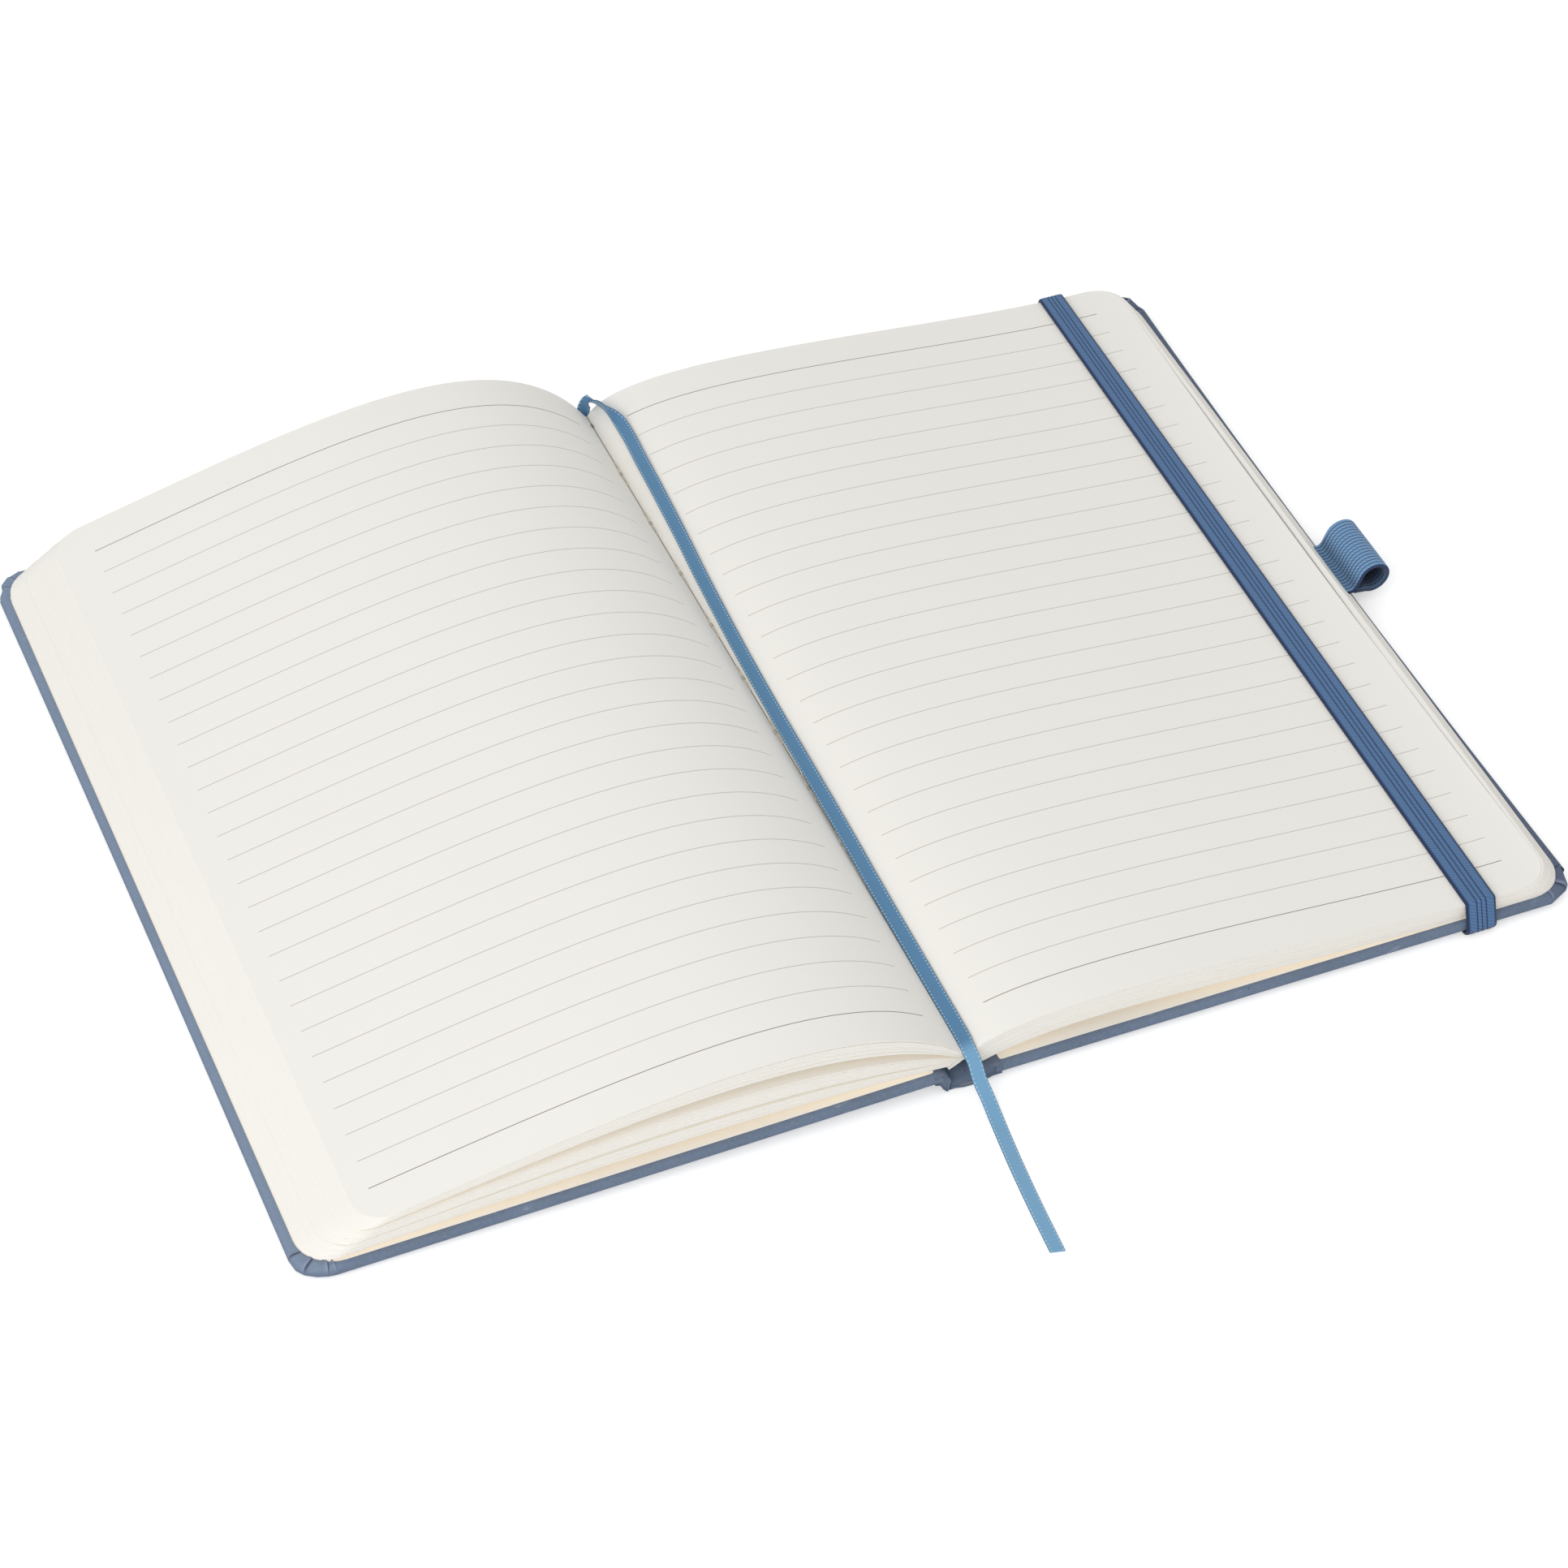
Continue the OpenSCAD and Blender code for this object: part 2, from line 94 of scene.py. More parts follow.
# Route of the ribbon: x, y, z, how far its right edge is turned up, and how far its width is
# turned from X towards Y
ROUTE = [
    (-0.6, 96, 5.3, 0, 0), (-0.6, 101, 5.3, 0, 0), (-0.6, 103.4, 5.6, 0, 0),
    (-0.5, 104.4, 6.7, 0, -15), (-0.15, 104.4, 8.3, 0, -40), (0.15, 104.2, 9.9, 0, -60),
    (0.7, 103.8, 11.1, 5, -68), (1.4, 102.7, 11.4, 37, -98), (2, 101.2, 12, 60, -120),
    (2.5, 100, 12.3, 70, -180), (2.95, 97.9, 12.4, 78, -180), (3.55, 96.2, 12.4, 78, 0),
    (4.05, 94.7, 12.2, 57, 0), (4.4, 93.2, 11.95, 39, 0), (4.5, 91, 11.8, 32, 0),
    (4.5, 87, 11.7, 30, 0), (4.21, 81, 11.59, 31, 0), (3.91, 70, 11.25, 31, 0),
    (3.32, 55, 10.84, 36, 0), (2.59, 40, 10.3, 38, 0), (1.91, 20, 9.74, 39, 0),
    (1.55, 0, 9.35, 39, 0), (1.27, -20, 9.42, 36, 0), (1.1, -40, 9.25, 28, 0),
    (0.75, -60, 9.1, 22, 0), (0.59, -80, 8.97, 18, 0), (0.37, -98, 8.95, 13, 0),
    (0.2, -101, 8.95, 9, 0), (0.1, -103.6, 8.67, 4, 0), (0.3, -105.4, 7.6, 0, 0),
    (0.5, -107.8, 4.8, 0, 0), (1.1, -110.4, 2.3, 0, 0), (1.1, -114.6, 0.6, 0, 0),
    (0.55, -120, 0.3, 0, 0), (-0.22, -127, 0.3, 0, 0), (-1.1, -137, 0.3, 0, 0),
    (-1.9, -148.8, 0.3, 0, 0),
]


# Curves

def mix(a, b, f):
    """Linear blend from a to b."""
    return a + (b - a) * f


def bezier(points, t):
    """Cubic curve through four control points at the parameters t, as an array of points."""
    p = np.asarray(points, float)
    t = np.asarray(t, float)[:, None]
    return ((1 - t) ** 3 * p[0] + 3 * (1 - t) ** 2 * t * p[1]
            + 3 * (1 - t) * t ** 2 * p[2] + t ** 3 * p[3])


def front_lean():
    """Angle at which the front cover leans on its fore edge, in radians."""
    up, out = HINGE_RISE + SLAB_T / 2, EDGE_X - SLAB_T / 2 - HINGE[0]
    return math.acos((SLAB_T / 2 - HINGE[1]) / math.hypot(up, out)) - math.atan2(out, up)


def front_top(x):
    """Height of the front cover's endpaper, x mm left of the fold: a line that falls outwards."""
    rise, lean = HINGE_RISE + SLAB_T + ENDPAPER_T, front_lean()
    return HINGE[1] + rise / math.cos(lean) - (x - HINGE[0]) * math.tan(lean)


def top_leaf(side, end):
    """Control points (x outwards, z) of the uppermost leaf, at the tail (end 0) or the head (1)."""
    if side == "left":
        x = 125.35
        return [(0.3, GUTTER_Z - 0.3), (22.3, GUTTER_Z + mix(23, 32.8, end)),
                (65.5, GUTTER_Z + mix(14, 17.3, end)), (x + mix(1, -1, end), front_top(x) + 7.2)]
    return [(0.3, GUTTER_Z - 0.3), (mix(18, 9.6, end), GUTTER_Z + mix(13.3, 16.2, end)),
            (mix(107.4, 95.6, end), GUTTER_Z - mix(4.2, 3.3, end)), (131.35, 8 - mix(0.5, 0, end))]


def low_leaf(side, end):
    """Control points of the lowest leaf, which follows its cover."""
    if side == "left":
        return [(p, front_top(p) + 0.3) for p in (4.2, 47.9, 91.6, 135.05)]
    return [(3.3, 4.35), (27.5, 3.35 + 9 * mix(1, 1.25, end)), (69.4, 2.15), (134.75, 3.5)]


def leaf(side, end, fold, belly, short):
    """A leaf between the lowest and the uppermost: fold places its two ends, belly its middle,
    and short is how far its fore edge falls back from the lowest leaf's."""
    low, top = np.array(low_leaf(side, end)), np.array(top_leaf(side, end))
    share = np.array([fold, belly, belly, fold])[:, None]
    p = mix(low, top, share)
    p[3, 0] = low[3, 0] - short
    return p


def bow_in(across, y):
    """How far the back cover's fore edge, and the leaves on it, bow in: most in the middle of the
    height, and only near the edge."""
    return BOW * across ** 4 * np.clip(1 - (y / 97.5) ** 2, 0, 1)


def smooth_route(points, step=1.0):
    """Resamples a route along a Catmull-Rom curve through its points, one point about every step."""
    p = np.asarray(points, float)
    p = np.vstack([2 * p[0] - p[1], p, 2 * p[-1] - p[-2]])
    out = []
    for a, b, c, d in zip(p, p[1:], p[2:], p[3:]):
        n = max(2, int(np.linalg.norm((c - b)[:3]) / step))
        t = np.arange(n)[:, None] / n
        out.append(0.5 * (2 * b + (c - a) * t + (2 * a - 5 * b + 4 * c - d) * t ** 2
                          + (3 * b - a - 3 * c + d) * t ** 3))
    return np.vstack(out + [p[-2][None]])


# Meshes

def sweep(rings):
    """Points and faces of a closed skin over an array of rings (ring, point, xyz): each ring is
    joined to the next, and the first and last are filled."""
    rings = np.asarray(rings, float)
    n, k = rings.shape[:2]
    i, j = np.meshgrid(np.arange(n - 1), np.arange(k), indexing="ij")
    a, b = i * k + j, i * k + (j + 1) % k
    quads = np.stack([a, b, b + k, a + k], axis=-1).reshape(-1, 4)
    caps = [list(range(k - 1, -1, -1)), list(range((n - 1) * k, n * k))]
    return rings.reshape(-1, 3), quads.tolist() + caps


def signed_volume(points, faces):
    """Six times the volume inside the faces, negative where they point inwards."""
    total = 0.0
    for f in faces:
        a = points[f[0]]
        for m in range(1, len(f) - 1):
            total += float(np.dot(a, np.cross(points[f[m]], points[f[m + 1]])))
    return total


def outward(points, faces):
    """The faces, turned round if they point inwards."""
    if signed_volume(points, faces) < 0:
        faces = [f[::-1] for f in faces]
    return points, faces


def join(parts):
    """Several skins as one set of points and faces."""
    points, faces, start = [], [], 0
    for p, f in parts:
        points.append(p)
        faces += [[v + start for v in face] for face in f]
        start += len(p)
    return np.vstack(points), faces


def piece(name, skin, material, body, nodes, uv=None, angle=40):
    """Makes a mesh object at the origin in metres, gives it a material and hangs it on a body of
    the frame. uv is one pair for each point."""
    points, faces = skin
    mesh = bpy.data.meshes.new(name)
    mesh.from_pydata((points * MM).tolist(), [], faces)
    if uv is not None:
        loops = np.empty(len(mesh.loops), np.int32)
        mesh.loops.foreach_get("vertex_index", loops)
        layer = mesh.uv_layers.new(name="Across and along")
        layer.data.foreach_set("uv", np.asarray(uv, np.float32)[loops].ravel())
    mesh.shade_smooth()
    mesh.set_sharp_from_angle(angle=math.radians(angle))
    mesh.materials.append(material)
    obj = bpy.data.objects.new(name, mesh)
    bpy.context.scene.collection.objects.link(obj)
    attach(obj, body)
    if nodes:
        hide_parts(*nodes)
    return obj


def finish(node, made):
    """Gives a solid of the frame its material."""
    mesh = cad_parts[node].data
    mesh.materials.clear()
    mesh.materials.append(made)


def leaf_skin(side, low, top, rows, steps, shift=0.0):
    """A leaf, or a few pressed together, between two places in the pile. Each of low and top is
    (fold, belly, short). Stations run along the leaf, then round its corner, where the half height
    shrinks as along a quarter circle."""
    corner = np.linspace(0, math.pi / 2, 9)[1:]
    half = np.concatenate([np.full(steps + 1, HALF_PAGE),
                           HALF_PAGE - PAGE_CORNER * (1 - np.cos(corner))])
    sheets = []
    for place in (low, top):
        ends = []
        for end in (0, 1):
            p = leaf(side, end, *place)
            reach = 3 * np.linalg.norm(p[3] - p[2])
            t = np.concatenate([np.linspace(0, 1, steps + 1) * (1 - PAGE_CORNER / reach),
                                1 - PAGE_CORNER * (1 - np.sin(corner)) / reach])
            ends.append(bezier(p, t))
        y = half[:, None] * np.linspace(-1, 1, rows)
        e = (0.5 + y / (2 * HALF_PAGE))[:, :, None]
        xz = mix(ends[0][:, None, :], ends[1][:, None, :], e)
        sheets.append(np.stack([xz[:, :, 0], y + shift, xz[:, :, 1]], axis=-1))
    rings = np.concatenate([sheets[0][:, ::-1], sheets[1]], axis=1)
    if side == "left":
        rings[:, :, 0] *= -1
    else:
        rings[:, :, 0] -= bow_in(rings[:, :, 0] / COVER_W, rings[:, :, 1])
    return outward(*sweep(rings))


def pile(side, bundles, leaves, rng):
    """Leaves of one side as thin closed skins. A bundle is (fold, belly, short) at its top and at
    its bottom, and its share of the leaves; inside it the leaves lie in uneven clumps."""
    parts = []
    for top, low, share in bundles:
        n = max(2, round(leaves * share))
        gaps = rng.choice([0.08, 0.16, 0.5], n, p=[0.5, 0.35, 0.15])
        thick = rng.uniform(0.8, 1.3, n)
        edges = np.concatenate([[0], np.cumsum(np.stack([thick, gaps], 1).ravel())])[:-1]
        edges /= edges[-1]
        top, low = np.array(top), np.array(low)
        for i in range(n):
            a, b = mix(top, low, edges[2 * i]), mix(top, low, edges[2 * i + 1])
            slip = rng.normal(0, 0.05)
            a[2] += slip
            b[2] += slip
            parts.append(leaf_skin(side, b, a, rows=2, steps=26, shift=rng.normal(0, 0.03)))
    return join(parts)


def stretches(kinks):
    """Straights between the folds of a corner. For each: its two ends, and how far along its
    stretch, from crease to crease, they lie."""
    creases = [i for i, kink in enumerate(kinks) if kink[2]] + [len(kinks) - 1]
    out = []
    for first, last in zip(creases, creases[1:]):
        run = kinks[first:last + 1]
        steps = [math.dist(a[:2], b[:2]) for a, b in zip(run, run[1:])]
        marks = np.concatenate([[0], np.cumsum(steps)]) / sum(steps)
        out += zip(run, run[1:], marks, marks[1:])
    return out


def cover_outline(inset, folds):
    """Plan of a cover, drawn from its hinge end at x = 0. Each outer corner runs through its folds
    and shrinks to its centre as the inset grows. Returns points and how far along its own stretch
    each point of a corner lies (elsewhere -1)."""
    points, place = [], []
    size = max(1 - inset / CORNER, 0.05)
    x0, x1 = inset, COVER_W - inset - CORNER * size
    y1 = COVER_H / 2 - inset - CORNER * size
    tail = -y1 - folds["tail"][-1][1] * size
    head = y1 + folds["head"][-1][1] * size

    def corner(side, kinks):
        for a, b, low, high in stretches(kinks)[::side]:
            for f in (0.015, 0.08, 0.25, 0.5, 0.75, 0.92, 0.985)[::side]:
                points.append((x1 + mix(a[0], b[0], f) * size, side * (y1 + mix(a[1], b[1], f) * size)))
                place.append(mix(low, high, f))

    def straight(a, b, n):
        for f in np.linspace(0, 1, n):
            points.append((mix(a[0], b[0], f), mix(a[1], b[1], f)))
            place.append(-1)

    fore = x1 + CORNER * size
    straight((x0, tail), (x1 + folds["tail"][-1][0] * size, tail), 30)
    corner(-1, folds["tail"])
    straight((fore, -y1), (fore, y1), 50)
    corner(1, folds["head"])
    straight((x1 + folds["head"][-1][0] * size, head), (x0, head), 30)
    straight((x0, head), (x0, tail), 40)
    return np.array(points), np.array(place)


def cover_skin(rng, folds, bow):
    """Covering of one cover: nested rings of the outline, from the inner face round the soft edge
    to the outer face. At the two outer corners the turned-in sheet lies in pleats, each rising
    along its stretch and stepping down at the next crease. Bow is how much of the back cover's bow
    this one has. Returns the skin and, for each point, its place along a pleat and its depth."""
    r = SLAB_T / 2
    turn = np.linspace(math.radians(90), math.radians(-90), 11)
    profile = [(12, SLAB_T, 0), (6, SLAB_T, 0.5), (3, SLAB_T, 0.9), (1.9, SLAB_T, 1)]
    profile += [(r - r * math.cos(a), r + r * math.sin(a), max(0, math.sin(a))) for a in turn]
    profile += [(3, 0, 0), (12, 0, 0)]
    rings, uv = [], []
    wave = rng.normal(0, 1, 8)
    for inset, height, pleat in profile:
        plan, place = cover_outline(inset, folds)
        plan[:, 0] -= bow * bow_in(plan[:, 0] / COVER_W, plan[:, 1])
        lift = np.where(place >= 0, PLEAT_STEP * np.clip(place, 0, 1) ** 1.5, 0) * pleat
        s = np.linspace(0, 2 * math.pi, len(plan))
        ripple = sum(w * np.sin((5 + 3 * i) * s + i) for i, w in enumerate(wave)) * 0.012 * pleat
        rings.append(np.column_stack([plan, height + lift + ripple]))
        uv.append(np.column_stack([np.where(place >= 0, place, 0.5), np.full(len(plan), pleat)]))
    return outward(*sweep(np.array(rings))), np.vstack(uv)


def place_front(points):
    """Puts points drawn at the hinge end of a cover into the front cover's place, leaning on its
    fore edge."""
    lean = front_lean()
    x, z = points[:, 0] + COVER_X - HINGE[0], points[:, 2] + HINGE_RISE
    return np.column_stack([-HINGE[0] - x * math.cos(lean) - z * math.sin(lean), points[:, 1],
                            HINGE[1] - x * math.sin(lean) + z * math.cos(lean)])


def place_back(points):
    """Puts points drawn at the hinge end of a cover into the back cover's place."""
    return points + np.array([COVER_X, 0, BACK_Z])


def along_y(profile, length, soft=0.5, middle_y=0.0):
    """A closed section in x and z drawn out along y about middle_y, with softened ends that shrink
    towards the section's middle as along a quarter circle."""
    profile = np.asarray(profile, float)
    middle = profile.mean(axis=0)
    turn = np.linspace(0, math.pi / 2, 5)
    ends = [(-length / 2 + soft * (1 - math.sin(a)), soft * (1 - math.cos(math.pi / 2 - a)))
            for a in turn]
    ends += [(y, 0) for y in np.linspace(-length / 2, length / 2, 24)[1:-1]]
    ends += [(-y, s) for y, s in ends[4::-1]]
    rings = []
    for y, shrink in ends:
        offset = profile - middle
        size = np.linalg.norm(offset, axis=1, keepdims=True)
        section = middle + offset * np.clip(1 - shrink / np.maximum(size, 1e-6), 0.3, 1)
        rings.append(np.column_stack([section[:, 0], np.full(len(section), y + middle_y), section[:, 1]]))
    return outward(*sweep(np.array(rings)))


def offset_path(path, distance):
    """A path in its own plane, moved sideways: each point goes along the path's left normal."""
    p = np.asarray(path, float)
    d = np.gradient(p, axis=0)
    d /= np.linalg.norm(d, axis=1, keepdims=True)
    return p + np.column_stack([-d[:, 1], d[:, 0]]) * np.asarray(distance)[..., None]


def arc(cx, cy, r, a0, a1, n):
    """Points of an arc, angles in degrees."""
    a = np.radians(np.linspace(a0, a1, n))
    return np.column_stack([cx + r * np.cos(a), cy + r * np.sin(a)])


def page_top(end):
    """Height of the right page under the band: the higher of the band's two edges."""
    rows = bezier(top_leaf("right", end), np.linspace(0, 1, 60))
    return max(np.interp(BAND_X + s * BAND_W / 2, rows[:, 0], rows[:, 1]) for s in (-1, 1))


def band_path():
    """Path of the band in y and z: from its glued end at the tail, through the slot, round the
    cover's and the leaves' edges, over the page and back into the slot at the head."""
    lap = 0.1 + BAND_T / 2
    halves = []
    for s, end in ((-1, 0), (1, 1)):
        low = np.array([s * (COVER_H / 2 - 1.2), BACK_Z + 1.2])
        high = np.array([s * HALF_PAGE, page_top(end)])
        d, r_low = high - low, 1.2 + lap
        turn = math.degrees(math.acos((r_low - lap) / np.hypot(*d)))
        to = math.degrees(math.atan2(d[1], d[0])) - s * turn
        slot, tab = s * (COVER_H / 2 - 14), BACK_Z + SLAB_T - BAND_T / 2 - 0.05
        halves.append(np.vstack([
            [[slot - s * 9, tab]],
            arc(slot - s * 0.5, tab - 0.5, 0.5, 90, 0 if s > 0 else 180, 6),
            arc(slot + s * 0.5, BAND_T / 2 + 0.5, 0.5, 180 if s > 0 else 0,
                270 if s > 0 else -90, 6),
            arc(*low, r_low, -90, to if s > 0 else to - 360, 14),
            arc(*high, lap, to, 90, 8),
        ]))
    tail, head = halves[0], halves[1][::-1]
    between = mix(tail[-1], head[0], np.linspace(0, 1, 40)[1:-1, None])
    return np.vstack([tail, between, head])


def ribbed_strap(path, thickness, across, ribs, depth, gather=0.0):
    """A flat strap of elastic along a path in a plane: its outer face rises and falls across its
    width as rounded ribs with narrow grooves, which gather moves towards the middle. Returns the
    skin, in (path a, across, path b), and the pair (across, along) of each point."""
    u = np.linspace(0, 1, ribs * 8 + 1)
    groove = np.abs(np.sin(math.pi * ribs * (u - gather * np.sin(math.tau * u)))) ** 0.45
    height = thickness / 2 - depth * (1 - groove)
    height[0] = height[-1] = thickness / 2 - depth * 1.4
    along = np.concatenate([[0], np.cumsum(np.linalg.norm(np.diff(path, axis=0), axis=1))])
    rings, uv = [], []
    outer = np.stack([offset_path(path, np.full(len(path), h)) for h in height], axis=1)
    inner = offset_path(path, np.full(len(path), -thickness / 2))
    for i in range(len(path)):
        top = np.column_stack([outer[i, :, 0], (u - 0.5) * across, outer[i, :, 1]])
        low_u = u[::-1][::4]
        low = np.column_stack([np.full(len(low_u), inner[i, 0]), (low_u - 0.5) * across,
                               np.full(len(low_u), inner[i, 1])])
        rings.append(np.vstack([top, low]))
        uv.append(np.column_stack([np.concatenate([u, low_u]),
                                   np.full(len(u) + len(low_u), along[i])]))
    return sweep(np.array(rings)), np.vstack(uv)


def loop_path():
    """Path of the pen loop in x and z, from its glued tab up and round, back to the cover's edge."""
    z_tab = BACK_Z + SLAB_T + ENDPAPER_T + 0.05 + LOOP_T / 2
    base = np.array([EDGE_X - 2, z_tab])
    c, r = np.array([EDGE_X + 3.4, z_tab + 2.4]), 3.4
    start = c + r * np.array([math.cos(math.radians(140)), math.sin(math.radians(140))])
    back = c + r * np.array([math.cos(math.radians(-115)), math.sin(math.radians(-115))])
    rise = bezier([base, base + [1.6, 0], start - [1, 1.3], start], np.linspace(0, 0.95, 12))
    return np.vstack([[[EDGE_X - 14, z_tab]], rise, arc(*c, r, 140, -115, 44),
                      mix(back, base + [0.3, -0.25], np.linspace(0.1, 0.8, 6)[:, None])])


def ribbon_skin(width, thickness):
    """The ribbon along its route. Its width lies along the route's own sideways direction, which
    is turned up by the angle given at each point; the two edges are a little thicker than the
    middle. Returns the skin, the (across, along) pairs and the centreline."""
    rows = np.array(ROUTE, float)
    up, turn = np.radians(rows[:, 3]), np.radians(rows[:, 4])
    aim = np.column_stack([np.cos(up) * np.cos(turn), np.cos(up) * np.sin(turn), np.sin(up)])
    route = smooth_route(np.column_stack([rows[:, :3], aim]))
    p, f = route[:, :3], route[:, 3:]
    t = np.gradient(p, axis=0)
    t /= np.linalg.norm(t, axis=1, keepdims=True)
    w = f - t * np.sum(f * t, axis=1, keepdims=True)
    w /= np.linalg.norm(w, axis=1, keepdims=True)
    n = np.cross(w, t)
    along = np.concatenate([[0], np.cumsum(np.linalg.norm(np.diff(p, axis=0), axis=1))])
    u = np.linspace(0, 1, 13)
    edge = np.exp(-((u - 0.07) / 0.05) ** 2) + np.exp(-((u - 0.93) / 0.05) ** 2)
    half = thickness / 2 * (0.75 + 0.35 * edge)
    half[0] = half[-1] = thickness * 0.2
    cut = np.zeros((len(p), len(u)))
    cut[-1] = (0.5 - u) * -0.5
    rings = []
    for side, order in ((1, slice(None)), (-1, slice(None, None, -1))):
        q, h = (u - 0.5)[order] * width, half[order] * side
        rings.append(p[:, None] + w[:, None] * q[None, :, None] + n[:, None] * h[None, :, None]
                     + t[:, None] * cut[:, order, None])
    uv = np.stack([np.broadcast_to(np.concatenate([u, u[::-1]]), (len(p), 2 * len(u))),
                   np.broadcast_to(along[:, None], (len(p), 2 * len(u)))], axis=-1)
    return outward(*sweep(np.concatenate(rings, axis=1))), uv.reshape(-1, 2), p, along[-1]


# Materials

def srgb(r, g, b):
    """A display colour, 0 to 255, as the linear colour that a shader takes."""
    c = np.array([r, g, b]) / 255
    c = np.where(c <= 0.04045, c / 12.92, ((c + 0.055) / 1.055) ** 2.4)
    return (*c.tolist(), 1.0)


class Nodes:
    """Short ways to add nodes to one tree."""

    def __init__(self, tree):
        self.tree = tree

    def add(self, kind, **values):
        node = self.tree.nodes.new(kind)
        for key, value in values.items():
            setattr(node, key, value)
        return node

    def link(self, value, socket):
        if isinstance(value, bpy.types.NodeSocket):
            self.tree.links.new(value, socket)
        else:
            socket.default_value = value

    def math(self, operation, *values):
        node = self.add("ShaderNodeMath", operation=operation)
        for value, socket in zip(values, node.inputs):
            self.link(value, socket)
        return node.outputs[0]

    def split(self, vector):
        """The three parts of a vector."""
        node = self.add("ShaderNodeSeparateXYZ")
        self.link(vector, node.inputs[0])
        return node.outputs

    def place(self):
        """Object coordinates in metres."""
        return self.add("ShaderNodeTexCoord").outputs["Object"]

    def plan(self):
        """X and Y of the object coordinates in millimetres."""
        x, y, _ = self.split(self.place())
        return self.math("MULTIPLY", x, 1000.0), self.math("MULTIPLY", y, 1000.0)

    def across_and_along(self):
        """The two numbers that a strap, the ribbon or a pleat carries at each point."""
        u, v, _ = self.split(self.add("ShaderNodeUVMap", uv_map="Across and along").outputs[0])
        return u, v

    def ramp(self, value, low, high):
        """0 below low, 1 above high, smooth between."""
        node = self.add("ShaderNodeMapRange", interpolation_type="SMOOTHSTEP")
        for v, name in ((value, "Value"), (low, "From Min"), (high, "From Max")):
            self.link(v, node.inputs[name])
        return node.outputs["Result"]

    def colour(self, factor, a, b):
        node = self.add("ShaderNodeMix", data_type="RGBA")
        for v, i in ((factor, 0), (a, 6), (b, 7)):
            self.link(v, node.inputs[i])
        return node.outputs[2]

    def noise(self, vector, scale, detail=2.0, stretch=None):
        if stretch:
            node = self.add("ShaderNodeVectorMath", operation="MULTIPLY")
            self.link(vector, node.inputs[0])
            node.inputs[1].default_value = stretch
            vector = node.outputs[0]
        node = self.add("ShaderNodeTexNoise")
        self.link(vector, node.inputs["Vector"])
        node.inputs["Scale"].default_value = scale
        node.inputs["Detail"].default_value = detail
        return node.outputs["Fac"]


def group(name, outputs, build, inputs=()):
    """A node group with the named outputs. build fills it and returns a value for each output."""
    tree = bpy.data.node_groups.new(name, "ShaderNodeTree")
    for kind, items in (("INPUT", inputs), ("OUTPUT", outputs)):
        for label, socket in items:
            tree.interface.new_socket(label, in_out=kind, socket_type=socket)
    nodes = Nodes(tree)
    start, end = nodes.add("NodeGroupInput"), nodes.add("NodeGroupOutput")
    for value, socket in zip(build(nodes, start.outputs), end.inputs):
        nodes.link(value, socket)
    return tree


def use(nodes, tree, **values):
    """Adds a group to a material and sets its inputs."""
    node = nodes.add("ShaderNodeGroup", node_tree=tree)
    for key, value in values.items():
        nodes.link(value, node.inputs[key.replace("_", " ").capitalize()])
    return node.outputs


def ruled_lines(look):
    """Mask of the printed lines. A line lies where y is a whole number of pitches below the first
    line; it ends at the margins, which slant a little on the left page. The first and last lines
    are darker."""
    def build(n, inputs):
        x, y = n.plan()
        first_line = n.math("ADD", n.math("MULTIPLY", n.math("GREATER_THAN", x, 0.0), RIGHT_HIGHER),
                            FIRST_LINE)
        k = n.math("DIVIDE", n.math("SUBTRACT", first_line, y), look.line_pitch)
        whole = n.math("ROUND", k)
        off = n.math("MULTIPLY", n.math("ABSOLUTE", n.math("SUBTRACT", k, whole)), look.line_pitch)
        line = n.math("SUBTRACT", 1.0, n.ramp(off, 0.05, 0.14))
        last = float(look.line_count - 1)
        rows = n.math("MULTIPLY", n.math("GREATER_THAN", whole, -0.5),
                      n.math("LESS_THAN", whole, last + 0.5))
        left = n.math("MULTIPLY",
                      n.math("GREATER_THAN", x, n.math("ADD", n.math("MULTIPLY", y, 0.0196), -118.05)),
                      n.math("LESS_THAN", x, n.math("ADD", n.math("MULTIPLY", y, 0.0069), -5.65)))
        right = n.math("MULTIPLY",
                       n.math("GREATER_THAN", n.math("ADD", x, n.math("MULTIPLY", y, 0.003)), 6.75),
                       n.math("LESS_THAN", n.math("ADD", x, n.math("MULTIPLY", y, 0.0025)), 123.25))
        first = n.math("LESS_THAN", whole, 0.5)
        end = n.math("GREATER_THAN", whole, last - 0.5)
        weight = n.math("ADD", 0.42, n.math("MULTIPLY", n.math("ADD", first, end), 0.4))
        mask = n.math("MULTIPLY", n.math("MULTIPLY", line, rows), n.math("ADD", left, right))
        return [n.math("MULTIPLY", mask, weight)]

    return group("Ruled lines", [("Mask", "NodeSocketFloat")], build)


def gutter_shade(look):
    """Mask of painted shade: a thin dark line at the bottom of the fold, a little wider at each stitch."""
    def build(n, inputs):
        x, y = n.plan()
        k = n.math("DIVIDE", n.math("ADD", y, STITCH_SHIFT), look.stitch_pitch)
        off = n.math("MULTIPLY", n.math("ABSOLUTE", n.math("SUBTRACT", k, n.math("ROUND", k))),
                     look.stitch_pitch)
        wide = n.math("ADD", 0.13, n.math("MULTIPLY", n.math("SUBTRACT", 1.0, n.ramp(off, 0.3, 0.9)), 0.3))
        reach = n.math("DIVIDE", n.math("ABSOLUTE", x), wide)
        return [n.math("MULTIPLY", n.math("SUBTRACT", 1.0, n.ramp(reach, 0.6, 1.3)), 0.8)]

    return group("Gutter shade", [("Mask", "NodeSocketFloat")], build)


